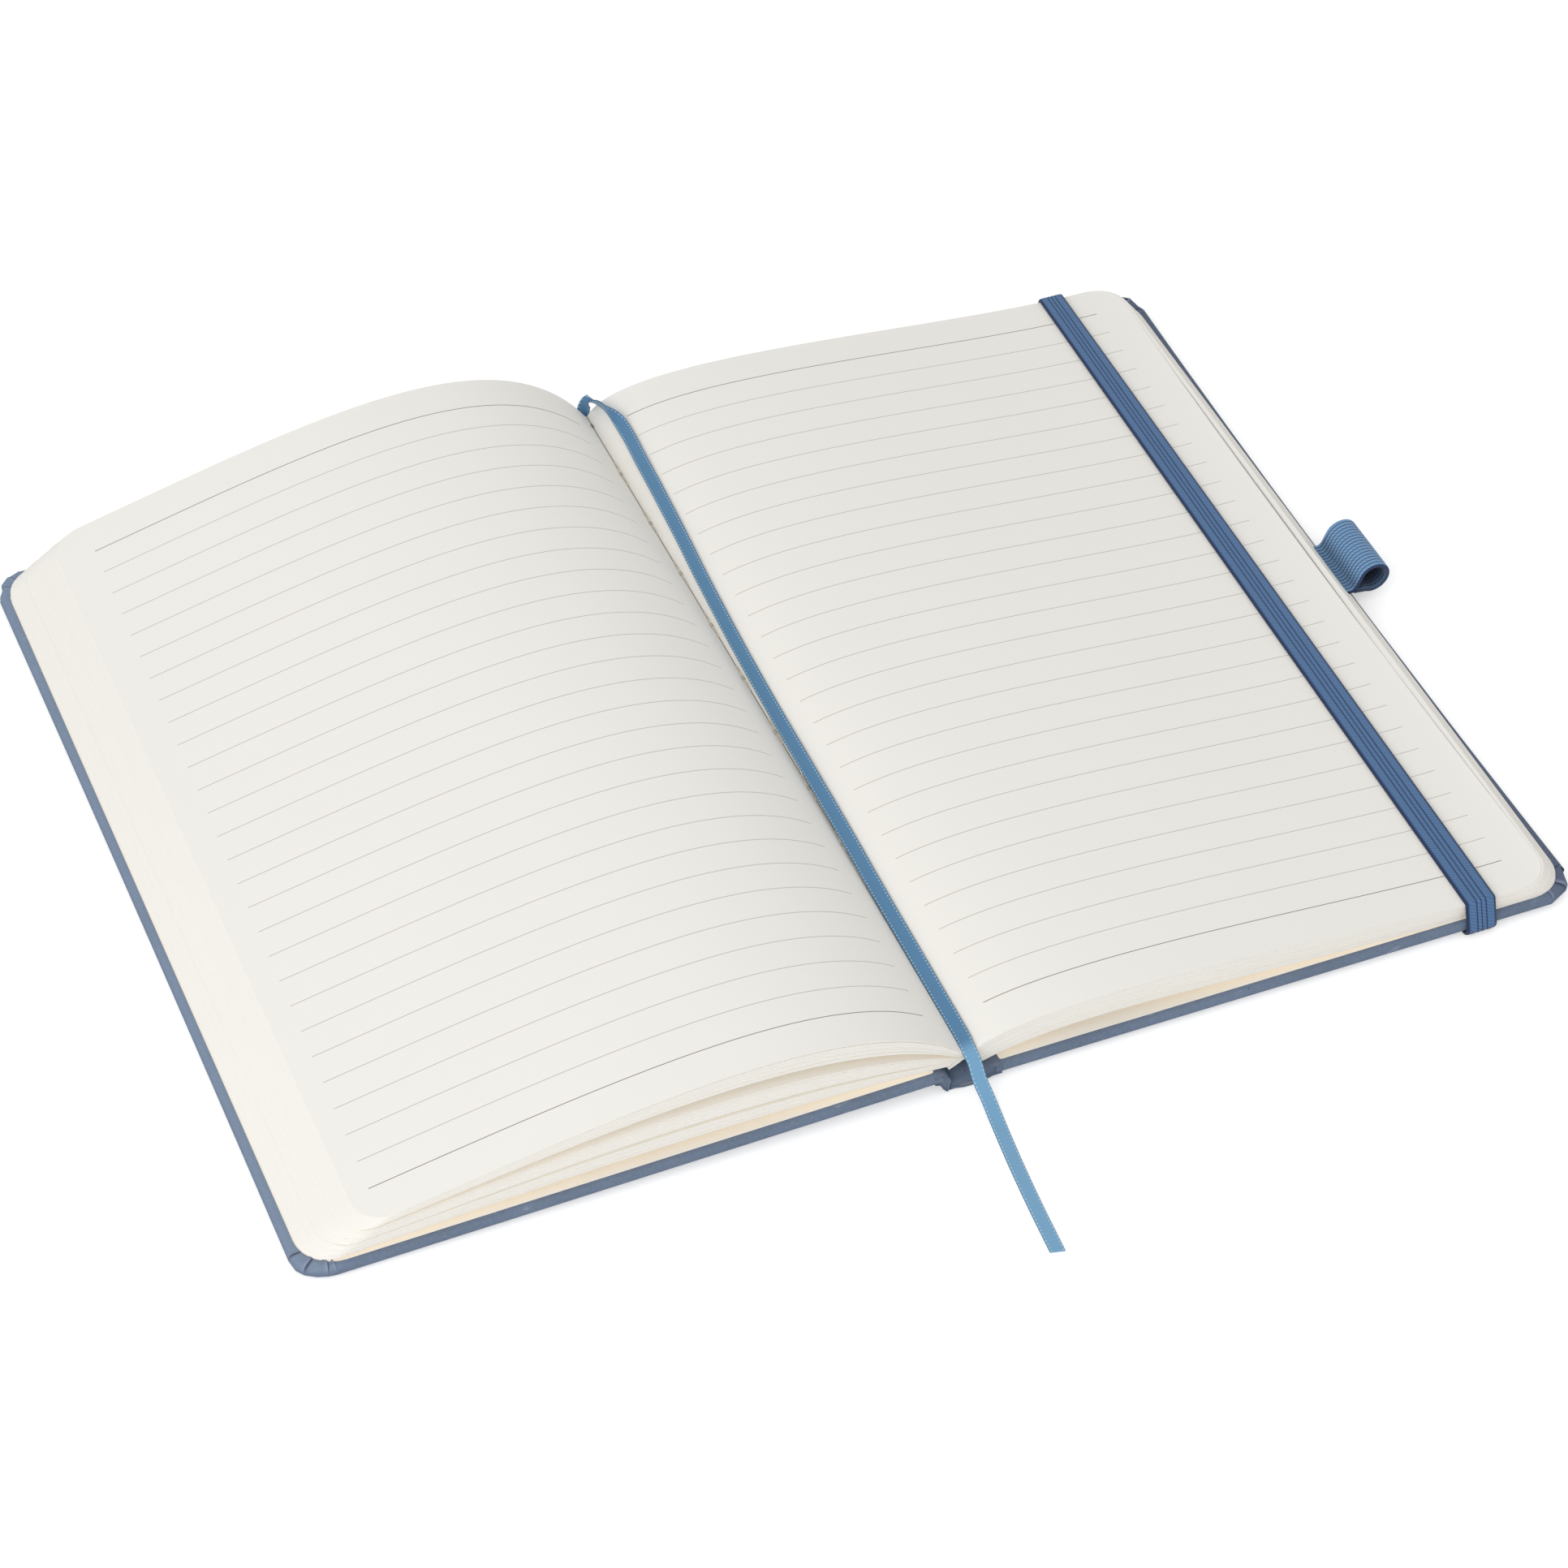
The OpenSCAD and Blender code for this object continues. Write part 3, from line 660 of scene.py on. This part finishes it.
def flecked_sheet():
    """Recycled covering paper: a cloudy tone, fine grain, sparse dark specks and pale fibres."""
    def build(n, inputs):
        place = n.place()
        cloud = n.noise(place, 60.0, 3.0)
        grain = n.noise(place, 1500.0, 2.0)
        fibre = n.noise(place, 260.0, 2.0, stretch=(1.0, 5.0, 3.0))
        cell = n.add("ShaderNodeTexVoronoi", feature="F1")
        n.link(place, cell.inputs["Vector"])
        cell.inputs["Scale"].default_value = 260.0
        rare = n.add("ShaderNodeSeparateColor")
        n.link(cell.outputs["Color"], rare.inputs[0])
        speck = n.math("MULTIPLY", n.math("SUBTRACT", 1.0, n.ramp(cell.outputs["Distance"], 0.03, 0.07)),
                       n.math("GREATER_THAN", rare.outputs[0], 0.72))
        tone = n.math("ADD", n.math("MULTIPLY", n.math("SUBTRACT", cloud, 0.5), 0.35),
                      n.math("MULTIPLY", n.math("SUBTRACT", grain, 0.5), 0.3))
        return [n.ramp(tone, -0.25, 0.25), speck, n.ramp(fibre, 0.66, 0.74), grain]

    return group("Flecked sheet", [("Tone", "NodeSocketFloat"), ("Speck", "NodeSocketFloat"),
                                   ("Fibre", "NodeSocketFloat"), ("Grain", "NodeSocketFloat")], build)


def knit(name):
    """Covered elastic: a mask of the grooves between the ribs, where shade is painted, and a fine knit
    across them. Its inputs are the number of ribs, the stitches in a millimetre and how far the
    grooves gather."""
    def build(n, inputs):
        u, v = n.across_and_along()
        wave = n.math("MULTIPLY", n.math("SINE", n.math("MULTIPLY", u, math.tau)), inputs["Gather"])
        turns = n.math("MULTIPLY", n.math("SUBTRACT", u, wave), inputs["Ribs"])
        rib = n.math("ABSOLUTE", n.math("SINE", n.math("MULTIPLY", turns, math.pi)))
        phase = n.math("MULTIPLY", n.math("MULTIPLY", v, inputs["Stitches"]), math.tau)
        slant = n.math("MULTIPLY", n.math("MULTIPLY", u, inputs["Ribs"]), math.tau)
        stitch = n.math("MULTIPLY", n.math("ADD", n.math("SINE", n.math("ADD", phase, slant)), 1.0), 0.5)
        return [n.math("SUBTRACT", 1.0, n.ramp(rib, 0.1, 0.55)), stitch]

    return group(name, [("Groove shade", "NodeSocketFloat"), ("Stitch", "NodeSocketFloat")], build,
                 [("Ribs", "NodeSocketFloat"), ("Stitches", "NodeSocketFloat"),
                  ("Gather", "NodeSocketFloat")])


def bump(n, height, strength, distance):
    """A bump normal from a height, strength 0 to 1, distance in metres."""
    node = n.add("ShaderNodeBump")
    node.inputs["Strength"].default_value = strength
    node.inputs["Distance"].default_value = distance
    n.link(height, node.inputs["Height"])
    return node.outputs[0]


def material(name, build, roughness=0.8, sheen=0.0):
    """A principled material. build returns a dictionary of what goes into its sockets."""
    made = bpy.data.materials.new(name)
    made.use_nodes = True
    n = Nodes(made.node_tree)
    shader = made.node_tree.nodes["Principled BSDF"]
    shader.inputs["Roughness"].default_value = roughness
    shader.inputs["Specular IOR Level"].default_value = 0.25
    shader.inputs["Sheen Weight"].default_value = sheen
    for key, value in build(n).items():
        n.link(value, shader.inputs[key])
    return made


def paper(name, colour, mask=None, gap_glow=0.0):
    """Uncoated paper with a very faint cloud in its tone, and printed lines, or the painted shade at
    the bottom of the fold, where a mask is given.
    Gap glow is the strength of a painted glow, a warm emission in the gaps between the sheets,
    where little light falls from outside; it stands in for light that comes through the sheets."""
    def build(n):
        place = n.place()
        tone = n.colour(n.noise(place, 45.0), srgb(*[c - 2 for c in colour]), srgb(*colour))
        # One dark colour for the print of the lines, or for the painted shade in the fold, where the mask
        # is given.
        if mask:
            tone = n.colour(use(n, mask)[0], tone, srgb(92, 82, 70))
        if not gap_glow:
            return {"Base Color": tone}
        # Painted glow: warm light is emitted where the surface is shut in, in place of light through the
        # sheets.
        open_air = n.add("ShaderNodeAmbientOcclusion", samples=6)
        open_air.inputs["Distance"].default_value = 0.006
        closed = n.math("SUBTRACT", 1.0, n.ramp(open_air.outputs["AO"], 0.1, 0.75))
        return {"Base Color": tone, "Emission Color": srgb(255, 222, 168),
                "Emission Strength": n.math("MULTIPLY", closed, gap_glow)}

    return material(name, build, roughness=0.9)


def covering(look, sheet):
    """The blue covering sheet, with its flecks and fibres, and painted light and shade: a painted
    shadow at the start of each pleat, a painted highlight on each pleat's lip, a lighter outer edge
    on the front cover and a darker fore edge on the back cover.
    """
    def build(n):
        out = use(n, sheet)
        r, g, b = look.cover_colour
        tone = n.colour(out["Tone"], srgb(r * 0.9, g * 0.9, b * 0.9), srgb(r * 1.08, g * 1.08, b * 1.08))
        tone = n.colour(n.math("MULTIPLY", out["Fibre"], 0.35), tone, srgb(165, 175, 195))
        tone = n.colour(n.math("MULTIPLY", out["Speck"], 0.75), tone, srgb(48, 52, 70))
        place, depth = n.across_and_along()
        # Painted shadow that each pleat's raised lip casts over the start of the next pleat.
        crease = n.math("MULTIPLY", n.math("SUBTRACT", 1.0, n.ramp(place, 0.04, 0.2)), depth)
        # Painted highlight on the raised lip at the end of each pleat.
        lip_highlight = n.math("MULTIPLY", n.ramp(place, 0.8, 0.93), depth)
        x = n.split(n.place())[0]
        # Painted light: the rounded outer edge of the front cover, which faces the key lamp, is lighter.
        left = n.math("MULTIPLY", n.ramp(n.math("MULTIPLY", x, -1.0), 0.125, 0.133), depth)
        # Painted shade: the back cover's fore edge, turned away from the key lamp, is darker.
        right = n.ramp(x, 0.128, 0.135)
        tone = n.colour(n.math("MULTIPLY", left, 0.4), tone, srgb(150, 168, 192))
        tone = n.colour(n.math("MULTIPLY", right, 0.45), tone, srgb(72, 78, 102))
        tone = n.colour(n.math("MULTIPLY", lip_highlight, 0.5), tone, srgb(150, 162, 186))
        tone = n.colour(n.math("MULTIPLY", crease, 0.75), tone, srgb(48, 54, 78))
        return {"Base Color": tone, "Normal": bump(n, out["Grain"], 0.25, 0.0001)}

    return material("Covering", build, roughness=0.75)


def elastic(name, colour, dark, ribs, stitches, tree, gather=0.0):
    """Ribbed elastic with painted shade in the grooves, and painted shade where it closes in on itself."""
    def build(n):
        out = use(n, tree, ribs=float(ribs), stitches=float(stitches), gather=gather)
        tone = n.colour(n.math("MULTIPLY", out["Stitch"], 0.45), srgb(*colour),
                        srgb(*[min(255, c * 1.35) for c in colour]))
        # Painted shade in the grooves between the ribs.
        tone = n.colour(out["Groove shade"], tone, srgb(*dark))
        # Painted shade: darker where ambient occlusion finds the elastic closed in on itself.
        open_air = n.add("ShaderNodeAmbientOcclusion", samples=6)
        open_air.inputs["Distance"].default_value = 0.008
        tone = n.colour(n.ramp(open_air.outputs["AO"], 0.25, 0.7), srgb(22, 30, 52), tone)
        return {"Base Color": tone, "Normal": bump(n, out["Stitch"], 0.3, 0.0001)}

    return material(name, build, roughness=0.7, sheen=0.2)


def satin(look):
    """Satin ribbon: a sheen along its length, a fine twill, and pale loops of thread, a little
    apart from each other, along both edges. A painted highlight lightens it where it turns down
    over the tail."""
    def build(n):
        u, v = n.across_and_along()
        side = n.math("ABSOLUTE", n.math("SUBTRACT", u, 0.5))
        off_edge = n.math("ABSOLUTE", n.math("SUBTRACT", side, 0.4))
        edge = n.math("SUBTRACT", 1.0, n.ramp(off_edge, 0.025, 0.05))
        beat = n.ramp(n.math("SINE", n.math("MULTIPLY", v, math.tau / 0.9)), 0.1, 0.6)
        slant = n.math("ADD", n.math("MULTIPLY", v, 14.0), n.math("MULTIPLY", u, 40.0))
        twill = n.math("MULTIPLY", n.math("ADD", n.math("SINE", slant), 1.0), 0.5)
        tone = n.colour(n.math("MULTIPLY", twill, 0.35), srgb(*look.ribbon_colour),
                        srgb(*[c * 0.86 for c in look.ribbon_colour]))
        # Painted highlight where the ribbon turns down over the tail.
        tail_highlight = n.math("SUBTRACT", 1.0, n.ramp(n.split(n.place())[1], -0.1035, -0.1))
        tone = n.colour(n.math("MULTIPLY", tail_highlight, 0.75), tone, srgb(122, 172, 207))
        tone = n.colour(n.math("MULTIPLY", n.math("MULTIPLY", edge, beat), 0.75), tone, srgb(185, 220, 236))
        tone = n.colour(n.math("MULTIPLY", n.ramp(side, 0.455, 0.49), 0.85), tone, srgb(42, 76, 112))
        return {"Base Color": tone, "Normal": bump(n, twill, 0.12, 0.0001)}

    made = material("Ribbon", build, roughness=0.42, sheen=0.3)
    made.node_tree.nodes["Principled BSDF"].inputs["Specular IOR Level"].default_value = 0.5
    return made


def plain(name, colour, roughness=0.8):
    """A single colour."""
    return material(name, lambda n: {"Base Color": srgb(*colour)}, roughness)


# Settings

class NotebookLook(bpy.types.PropertyGroup):
    """What can be changed about the notebook's looks."""

    line_pitch: FloatProperty(name="Line pitch", description="Distance between printed lines, mm",
                              default=7.0, min=5.0, max=10.0)
    line_count: IntProperty(name="Lines", description="Printed lines on a page", default=28, min=1)
    left_leaves: IntProperty(name="Left leaves", description="Sheets modelled on the left",
                             default=40, min=6, max=120)
    right_leaves: IntProperty(name="Right leaves", description="Sheets modelled on the right",
                              default=24, min=6, max=120)
    band_ribs: IntProperty(name="Band ribs", description="Ribs across the closing band", default=4)
    loop_ribs: IntProperty(name="Loop ribs", description="Ribs across the pen loop", default=17)
    stitch_pitch: FloatProperty(name="Stitch pitch", description="Distance between stitches, mm",
                                default=17.6)
    paper_colour: FloatVectorProperty(name="Paper", description="Display colour, 0 to 255",
                                      default=(247, 244.5, 238.5), size=3)
    cover_colour: FloatVectorProperty(name="Covering", description="Display colour, 0 to 255",
                                      default=(108, 123, 145), size=3)
    ribbon_colour: FloatVectorProperty(name="Ribbon", description="Display colour, 0 to 255",
                                       default=(74, 127, 168), size=3)
    lens: FloatProperty(name="Lens", description="Focal length on a 36 mm sensor", default=102.785,
                        subtype="DISTANCE_CAMERA")
    world_light: FloatProperty(name="Surround", description="Strength of the even light",
                               default=0.685)
    key_light: FloatProperty(name="Key lamp", description="Power of the large lamp on the left",
                             default=10.8, unit="POWER")
    fill_light: FloatProperty(name="Fill lamp", description="Power of the lamp over the tail",
                              default=1.3, unit="POWER")


# Operators

class NOTEBOOK_OT_camera(bpy.types.Operator):
    """Adds the camera at the photograph's place"""

    bl_idname = "notebook.camera"
    bl_label = "Camera"

    def execute(self, context):
        data = bpy.data.cameras.new("Camera")
        data.sensor_width = 36
        data.lens = context.scene.notebook_look.lens
        data.clip_start, data.clip_end = 0.05, 10
        camera = bpy.data.objects.new("Camera", data)
        context.scene.collection.objects.link(camera)
        camera.matrix_world = Matrix((
            (0.92102, 0.25638, -0.29325, -0.27447),
            (-0.38866, 0.65499, -0.64802, -0.61817),
            (0.02594, 0.71081, 0.70290, 0.65519),
            (0, 0, 0, 1),
        ))
        context.scene.camera = camera
        return {"FINISHED"}


class NOTEBOOK_OT_ribbon(bpy.types.Operator):
    """Adds the ribbon marker along its route"""

    bl_idname = "notebook.ribbon"
    bl_label = "Ribbon marker"

    def execute(self, context):
        skin, uv, line, length = ribbon_skin(3.0, 0.36)
        obj = piece("ribbon", skin, satin(context.scene.notebook_look), "book", ["ribbon_marker"], uv,
                    angle=70)
        return {"FINISHED"}


class NOTEBOOK_OT_leaves(bpy.types.Operator):
    """Adds the two ruled pages and the leaves under them"""

    bl_idname = "notebook.leaves"
    bl_label = "Leaves"

    def execute(self, context):
        look = context.scene.notebook_look
        rng = np.random.default_rng(11)
        ruled = paper("Ruled page", look.paper_colour, ruled_lines(look))
        inner = paper("Leaves", look.paper_colour, gap_glow=0.07)
        bundles = {
            "left": [((0.985, 0.975, 10.9), (0.72, 0.77, 7.7), 0.3),
                     ((0.70, 0.60, 7.2), (0.38, 0.39, 3.9), 0.34),
                     ((0.36, 0.34, 3.5), (0.0, 0.18, 0.0), 0.36)],
            "right": [((0.97, 0.97, 3.4), (0.0, 0.0, 0.0), 1.0)],
        }
        tops = {"left": ((0.99, 0.985, 11.0), (1.0, 1.0, 11.0)),
                "right": ((0.98, 0.98, 4.0), (1.0, 1.0, 4.0))}
        for side, count in (("left", look.left_leaves), ("right", look.right_leaves)):
            page = piece(f"{side}_page", leaf_skin(side, *tops[side], rows=13, steps=72), ruled,
                         "book", ["page_block"])
            under = piece(f"{side}_leaves", pile(side, bundles[side], count, rng), inner, "book", [])
        back = [(-4.2, 5.2), (-2.6, 6.3), (-1.2, 7.3), (0, 7.7), (1.2, 7.3), (2.6, 5.6), (3.3, 4.0),
                (2.7, 3.9), (1.9, 5.2), (0.9, 6.2), (0, 6.5), (-1.0, 6.3), (-2.4, 5.4), (-3.9, 4.6)]
        gutter = paper("Fold", look.paper_colour, gutter_shade(look))
        glued = piece("glued_folds", along_y(back, 205.8, 0.3), gutter, "book", [])
        return {"FINISHED"}


class NOTEBOOK_OT_covers(bpy.types.Operator):
    """Adds the covering of both covers and of the spine in place of their boards, and finishes the spine
    card and endpapers
    """

    bl_idname = "notebook.covers"
    bl_label = "Covers"

    def execute(self, context):
        look = context.scene.notebook_look
        blue = covering(look, flecked_sheet())
        rng = np.random.default_rng(5)
        nose = [(4.45, 0.2), (4.9, 0.35), (5.6, 1.2), (6.3, 2.6), (7.4, 3.0), (7.4, 4.95), (6.2, 5.05),
                (5.1, 4.7), (4.3, 3.9), (4.05, 3.0), (4.15, 2.0), (4.35, 1.0)]
        strip = [(-4.15, 0.15), (-3.9, 0.0), (3.4, 0.0), (4.6, 0.12), (5.6, 0.6), (6.8, 0.95),
                 (6.8, 1.5), (5.6, 1.25), (4.6, 0.95), (3.4, 0.9), (-3.9, 0.9), (-4.15, 0.75)]
        turned = [(-3.9, 1.1), (-2.8, 0.6), (-1.2, 0.2), (0.6, 0.1), (2.2, 0.5), (4, 1.0), (7, 1.0),
                  (7, 3.15), (4.5, 3.3), (3.0, 3.6), (2.3, 3.4), (1.0, 3.0), (-1.5, 2.6), (-3.9, 2.2)]
        (points, faces), pleats = cover_skin(rng, FRONT_FOLDS, 0.2)
        front = join([outward(place_front(points), faces),
                      along_y([(-x, z) for x, z in nose], COVER_H - 1, 0.4)])
        (points, faces), back_pleats = cover_skin(rng, BACK_FOLDS, 1.0)
        back = join([outward(place_back(points), faces), along_y(strip, COVER_H - 1.8, 0.4),
                     along_y(turned, 7, 0.5, -101.1), along_y(turned, 7, 0.5, 101.1)])
        for name, skin, marks, body, node in (
                ("front_cover_sheet", front, pleats, "front_cover", "front"),
                ("back_cover_sheet", back, back_pleats, "book", "back")):
            flat = np.tile([0.5, 0], (len(skin[0]) - len(marks), 1))
            nodes = [f"{node}_covering", f"{node}_board"]
            piece(name, skin, blue, body, nodes, np.vstack([marks, flat]))
        board = plain("Greyboard", (158, 152, 142))
        endpaper = paper("Endpaper", look.paper_colour, gap_glow=0.22)
        for node, made in (("spine_card", board), ("front_pastedown", endpaper),
                           ("back_pastedown", endpaper)):
            finish(node, made)
        return {"FINISHED"}


class NOTEBOOK_OT_band(bpy.types.Operator):
    """Adds the elastic closing band"""

    bl_idname = "notebook.band"
    bl_label = "Elastic band"

    def execute(self, context):
        look = context.scene.notebook_look
        (points, faces), uv = ribbed_strap(band_path(), BAND_T, BAND_W, look.band_ribs, 0.16,
                                          BAND_GATHER)
        head = 0.5 + points[:, 0] / COVER_H
        points = np.column_stack([BAND_X + mix(-1.1, 0.6, head) + points[:, 1] * mix(1.08, 0.92, head),
                                  points[:, 0], points[:, 2]])
        tree = knit("Knit of the band")
        made = elastic("Band elastic", (72, 104, 143), (26, 46, 84), look.band_ribs, 1.4, tree,
                       BAND_GATHER)
        obj = piece("closing_band", outward(points, faces), made, "book", ["elastic_band"], uv, 60)
        return {"FINISHED"}


class NOTEBOOK_OT_loop(bpy.types.Operator):
    """Adds the elastic pen loop"""

    bl_idname = "notebook.loop"
    bl_label = "Pen loop"

    def execute(self, context):
        look = context.scene.notebook_look
        (points, faces), uv = ribbed_strap(loop_path(), LOOP_T, LOOP_W, look.loop_ribs, 0.14)
        tree = knit("Knit of the loop")
        made = elastic("Loop elastic", (104, 140, 176), (34, 54, 92), look.loop_ribs, 1.2, tree)
        obj = piece("pen_holder", outward(points, faces), made, "book", ["pen_loop"], uv, 60)
        return {"FINISHED"}


class NOTEBOOK_OT_sewing(bpy.types.Operator):
    """Adds the stitches in the fold and finishes the cloth on the back of the folds"""

    bl_idname = "notebook.sewing"
    bl_label = "Sewing"

    def execute(self, context):
        look = context.scene.notebook_look
        parts = []
        for i in range(STITCHES):
            y = (i - (STITCHES - 1) / 2) * look.stitch_pitch - STITCH_SHIFT
            line = np.column_stack([0.12 * np.sin(np.linspace(0, 9, 13)),
                                    np.linspace(y - HALF_STITCH, y + HALF_STITCH, 13),
                                    7.78 + 0.06 * np.sin(np.linspace(0, math.pi, 13))])
            a = np.linspace(0, math.tau, 9)[:-1]
            ring = np.column_stack([np.cos(a), np.zeros(8), np.sin(a)]) * 0.13
            parts.append(outward(*sweep(line[:, None] + ring[None])))
        thread = plain("Thread", (226, 218, 202))
        obj = piece("stitches", join(parts), thread, "book", ["sewing_thread"])
        finish("spine_lining", plain("Lining", (226, 222, 210)))
        return {"FINISHED"}


class NOTEBOOK_OT_stage(bpy.types.Operator):
    """Adds the table top and the light"""

    bl_idname = "notebook.stage"
    bl_label = "Stage"

    def execute(self, context):
        look, scene = context.scene.notebook_look, context.scene
        mesh = bpy.data.meshes.new("table_top")
        mesh.from_pydata([(-3, -3, 0), (3, -3, 0), (3, 3, 0), (-3, 3, 0)], [], [(0, 1, 2, 3)])
        table = bpy.data.objects.new("table_top", mesh)
        scene.collection.objects.link(table)
        made = bpy.data.materials.new("Table top")
        made.use_nodes = True
        mesh.materials.append(made)
        n = Nodes(made.node_tree)
        made.node_tree.nodes.remove(made.node_tree.nodes["Principled BSDF"])
        out = made.node_tree.nodes["Material Output"]
        diffuse, glow, clear = (n.add("ShaderNodeBsdfDiffuse"), n.add("ShaderNodeEmission"),
                                n.add("ShaderNodeBsdfTransparent"))
        diffuse.inputs["Color"].default_value = srgb(238, 238, 238)
        n.link(n.math("MULTIPLY", self.seen(n), 0.42), glow.inputs["Strength"])
        both, under = n.add("ShaderNodeAddShader"), n.add("ShaderNodeMixShader")
        n.link(diffuse.outputs[0], both.inputs[0])
        n.link(glow.outputs[0], both.inputs[1])
        n.link(n.add("ShaderNodeNewGeometry").outputs["Backfacing"], under.inputs[0])
        n.link(both.outputs[0], under.inputs[1])
        n.link(clear.outputs[0], under.inputs[2])
        n.link(under.outputs[0], out.inputs["Surface"])

        world = bpy.data.worlds.new("World")
        world.use_nodes = True
        scene.world = world
        n = Nodes(world.node_tree)
        sky = world.node_tree.nodes["Background"]
        sky.inputs["Color"].default_value = (1, 1, 1, 1)
        level = n.math("ADD", n.math("MULTIPLY", self.seen(n), 1.0 - look.world_light), look.world_light)
        n.link(level, sky.inputs["Strength"])

        for name, place, wide, deep, power in (("Key", (-1.5, -0.7, 1.2), 1.6, 1.2, look.key_light),
                                               ("Fill", (-0.35, -0.75, 0.55), 0.6, 0.5,
                                                look.fill_light)):
            lamp = bpy.data.lights.new(name, "AREA")
            lamp.shape, lamp.size, lamp.size_y, lamp.energy = "RECTANGLE", wide, deep, power
            light = bpy.data.objects.new(name, lamp)
            light.location = place
            light.rotation_euler = (-light.location).to_track_quat("-Z", "Y").to_euler()
            scene.collection.objects.link(light)
        scene.view_settings.view_transform = "Standard"
        return {"FINISHED"}

    @staticmethod
    def seen(n):
        """1 for what the camera sees directly, in a reflection or through glass."""
        path = n.add("ShaderNodeLightPath")
        total = n.math("MAXIMUM", path.outputs["Is Camera Ray"], path.outputs["Is Glossy Ray"])
        return n.math("MAXIMUM", total, path.outputs["Is Transmission Ray"])


class NOTEBOOK_PT_panel(bpy.types.Panel):
    """Sidebar panel with the settings and a button for each piece"""

    bl_idname = "NOTEBOOK_PT_panel"
    bl_label = "Notebook"
    bl_space_type = "VIEW_3D"
    bl_region_type = "UI"
    bl_category = "Notebook"

    def draw(self, context):
        look = context.scene.notebook_look
        for name in NotebookLook.__annotations__:
            self.layout.prop(look, name)
        for operator in OPERATORS:
            self.layout.operator(operator.bl_idname)


OPERATORS = (NOTEBOOK_OT_camera, NOTEBOOK_OT_ribbon, NOTEBOOK_OT_leaves, NOTEBOOK_OT_covers,
             NOTEBOOK_OT_band, NOTEBOOK_OT_loop, NOTEBOOK_OT_sewing, NOTEBOOK_OT_stage)
CLASSES = (NotebookLook, *OPERATORS, NOTEBOOK_PT_panel)


def register():
    for cls in CLASSES:
        bpy.utils.register_class(cls)
    bpy.types.Scene.notebook_look = bpy.props.PointerProperty(type=NotebookLook)


def unregister():
    del bpy.types.Scene.notebook_look
    for cls in reversed(CLASSES):
        bpy.utils.unregister_class(cls)


def main():
    register()
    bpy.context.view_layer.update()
    for operator in OPERATORS:
        group_name, name = operator.bl_idname.split(".")
        getattr(getattr(bpy.ops, group_name), name)()


if __name__ == "__main__":
    main()
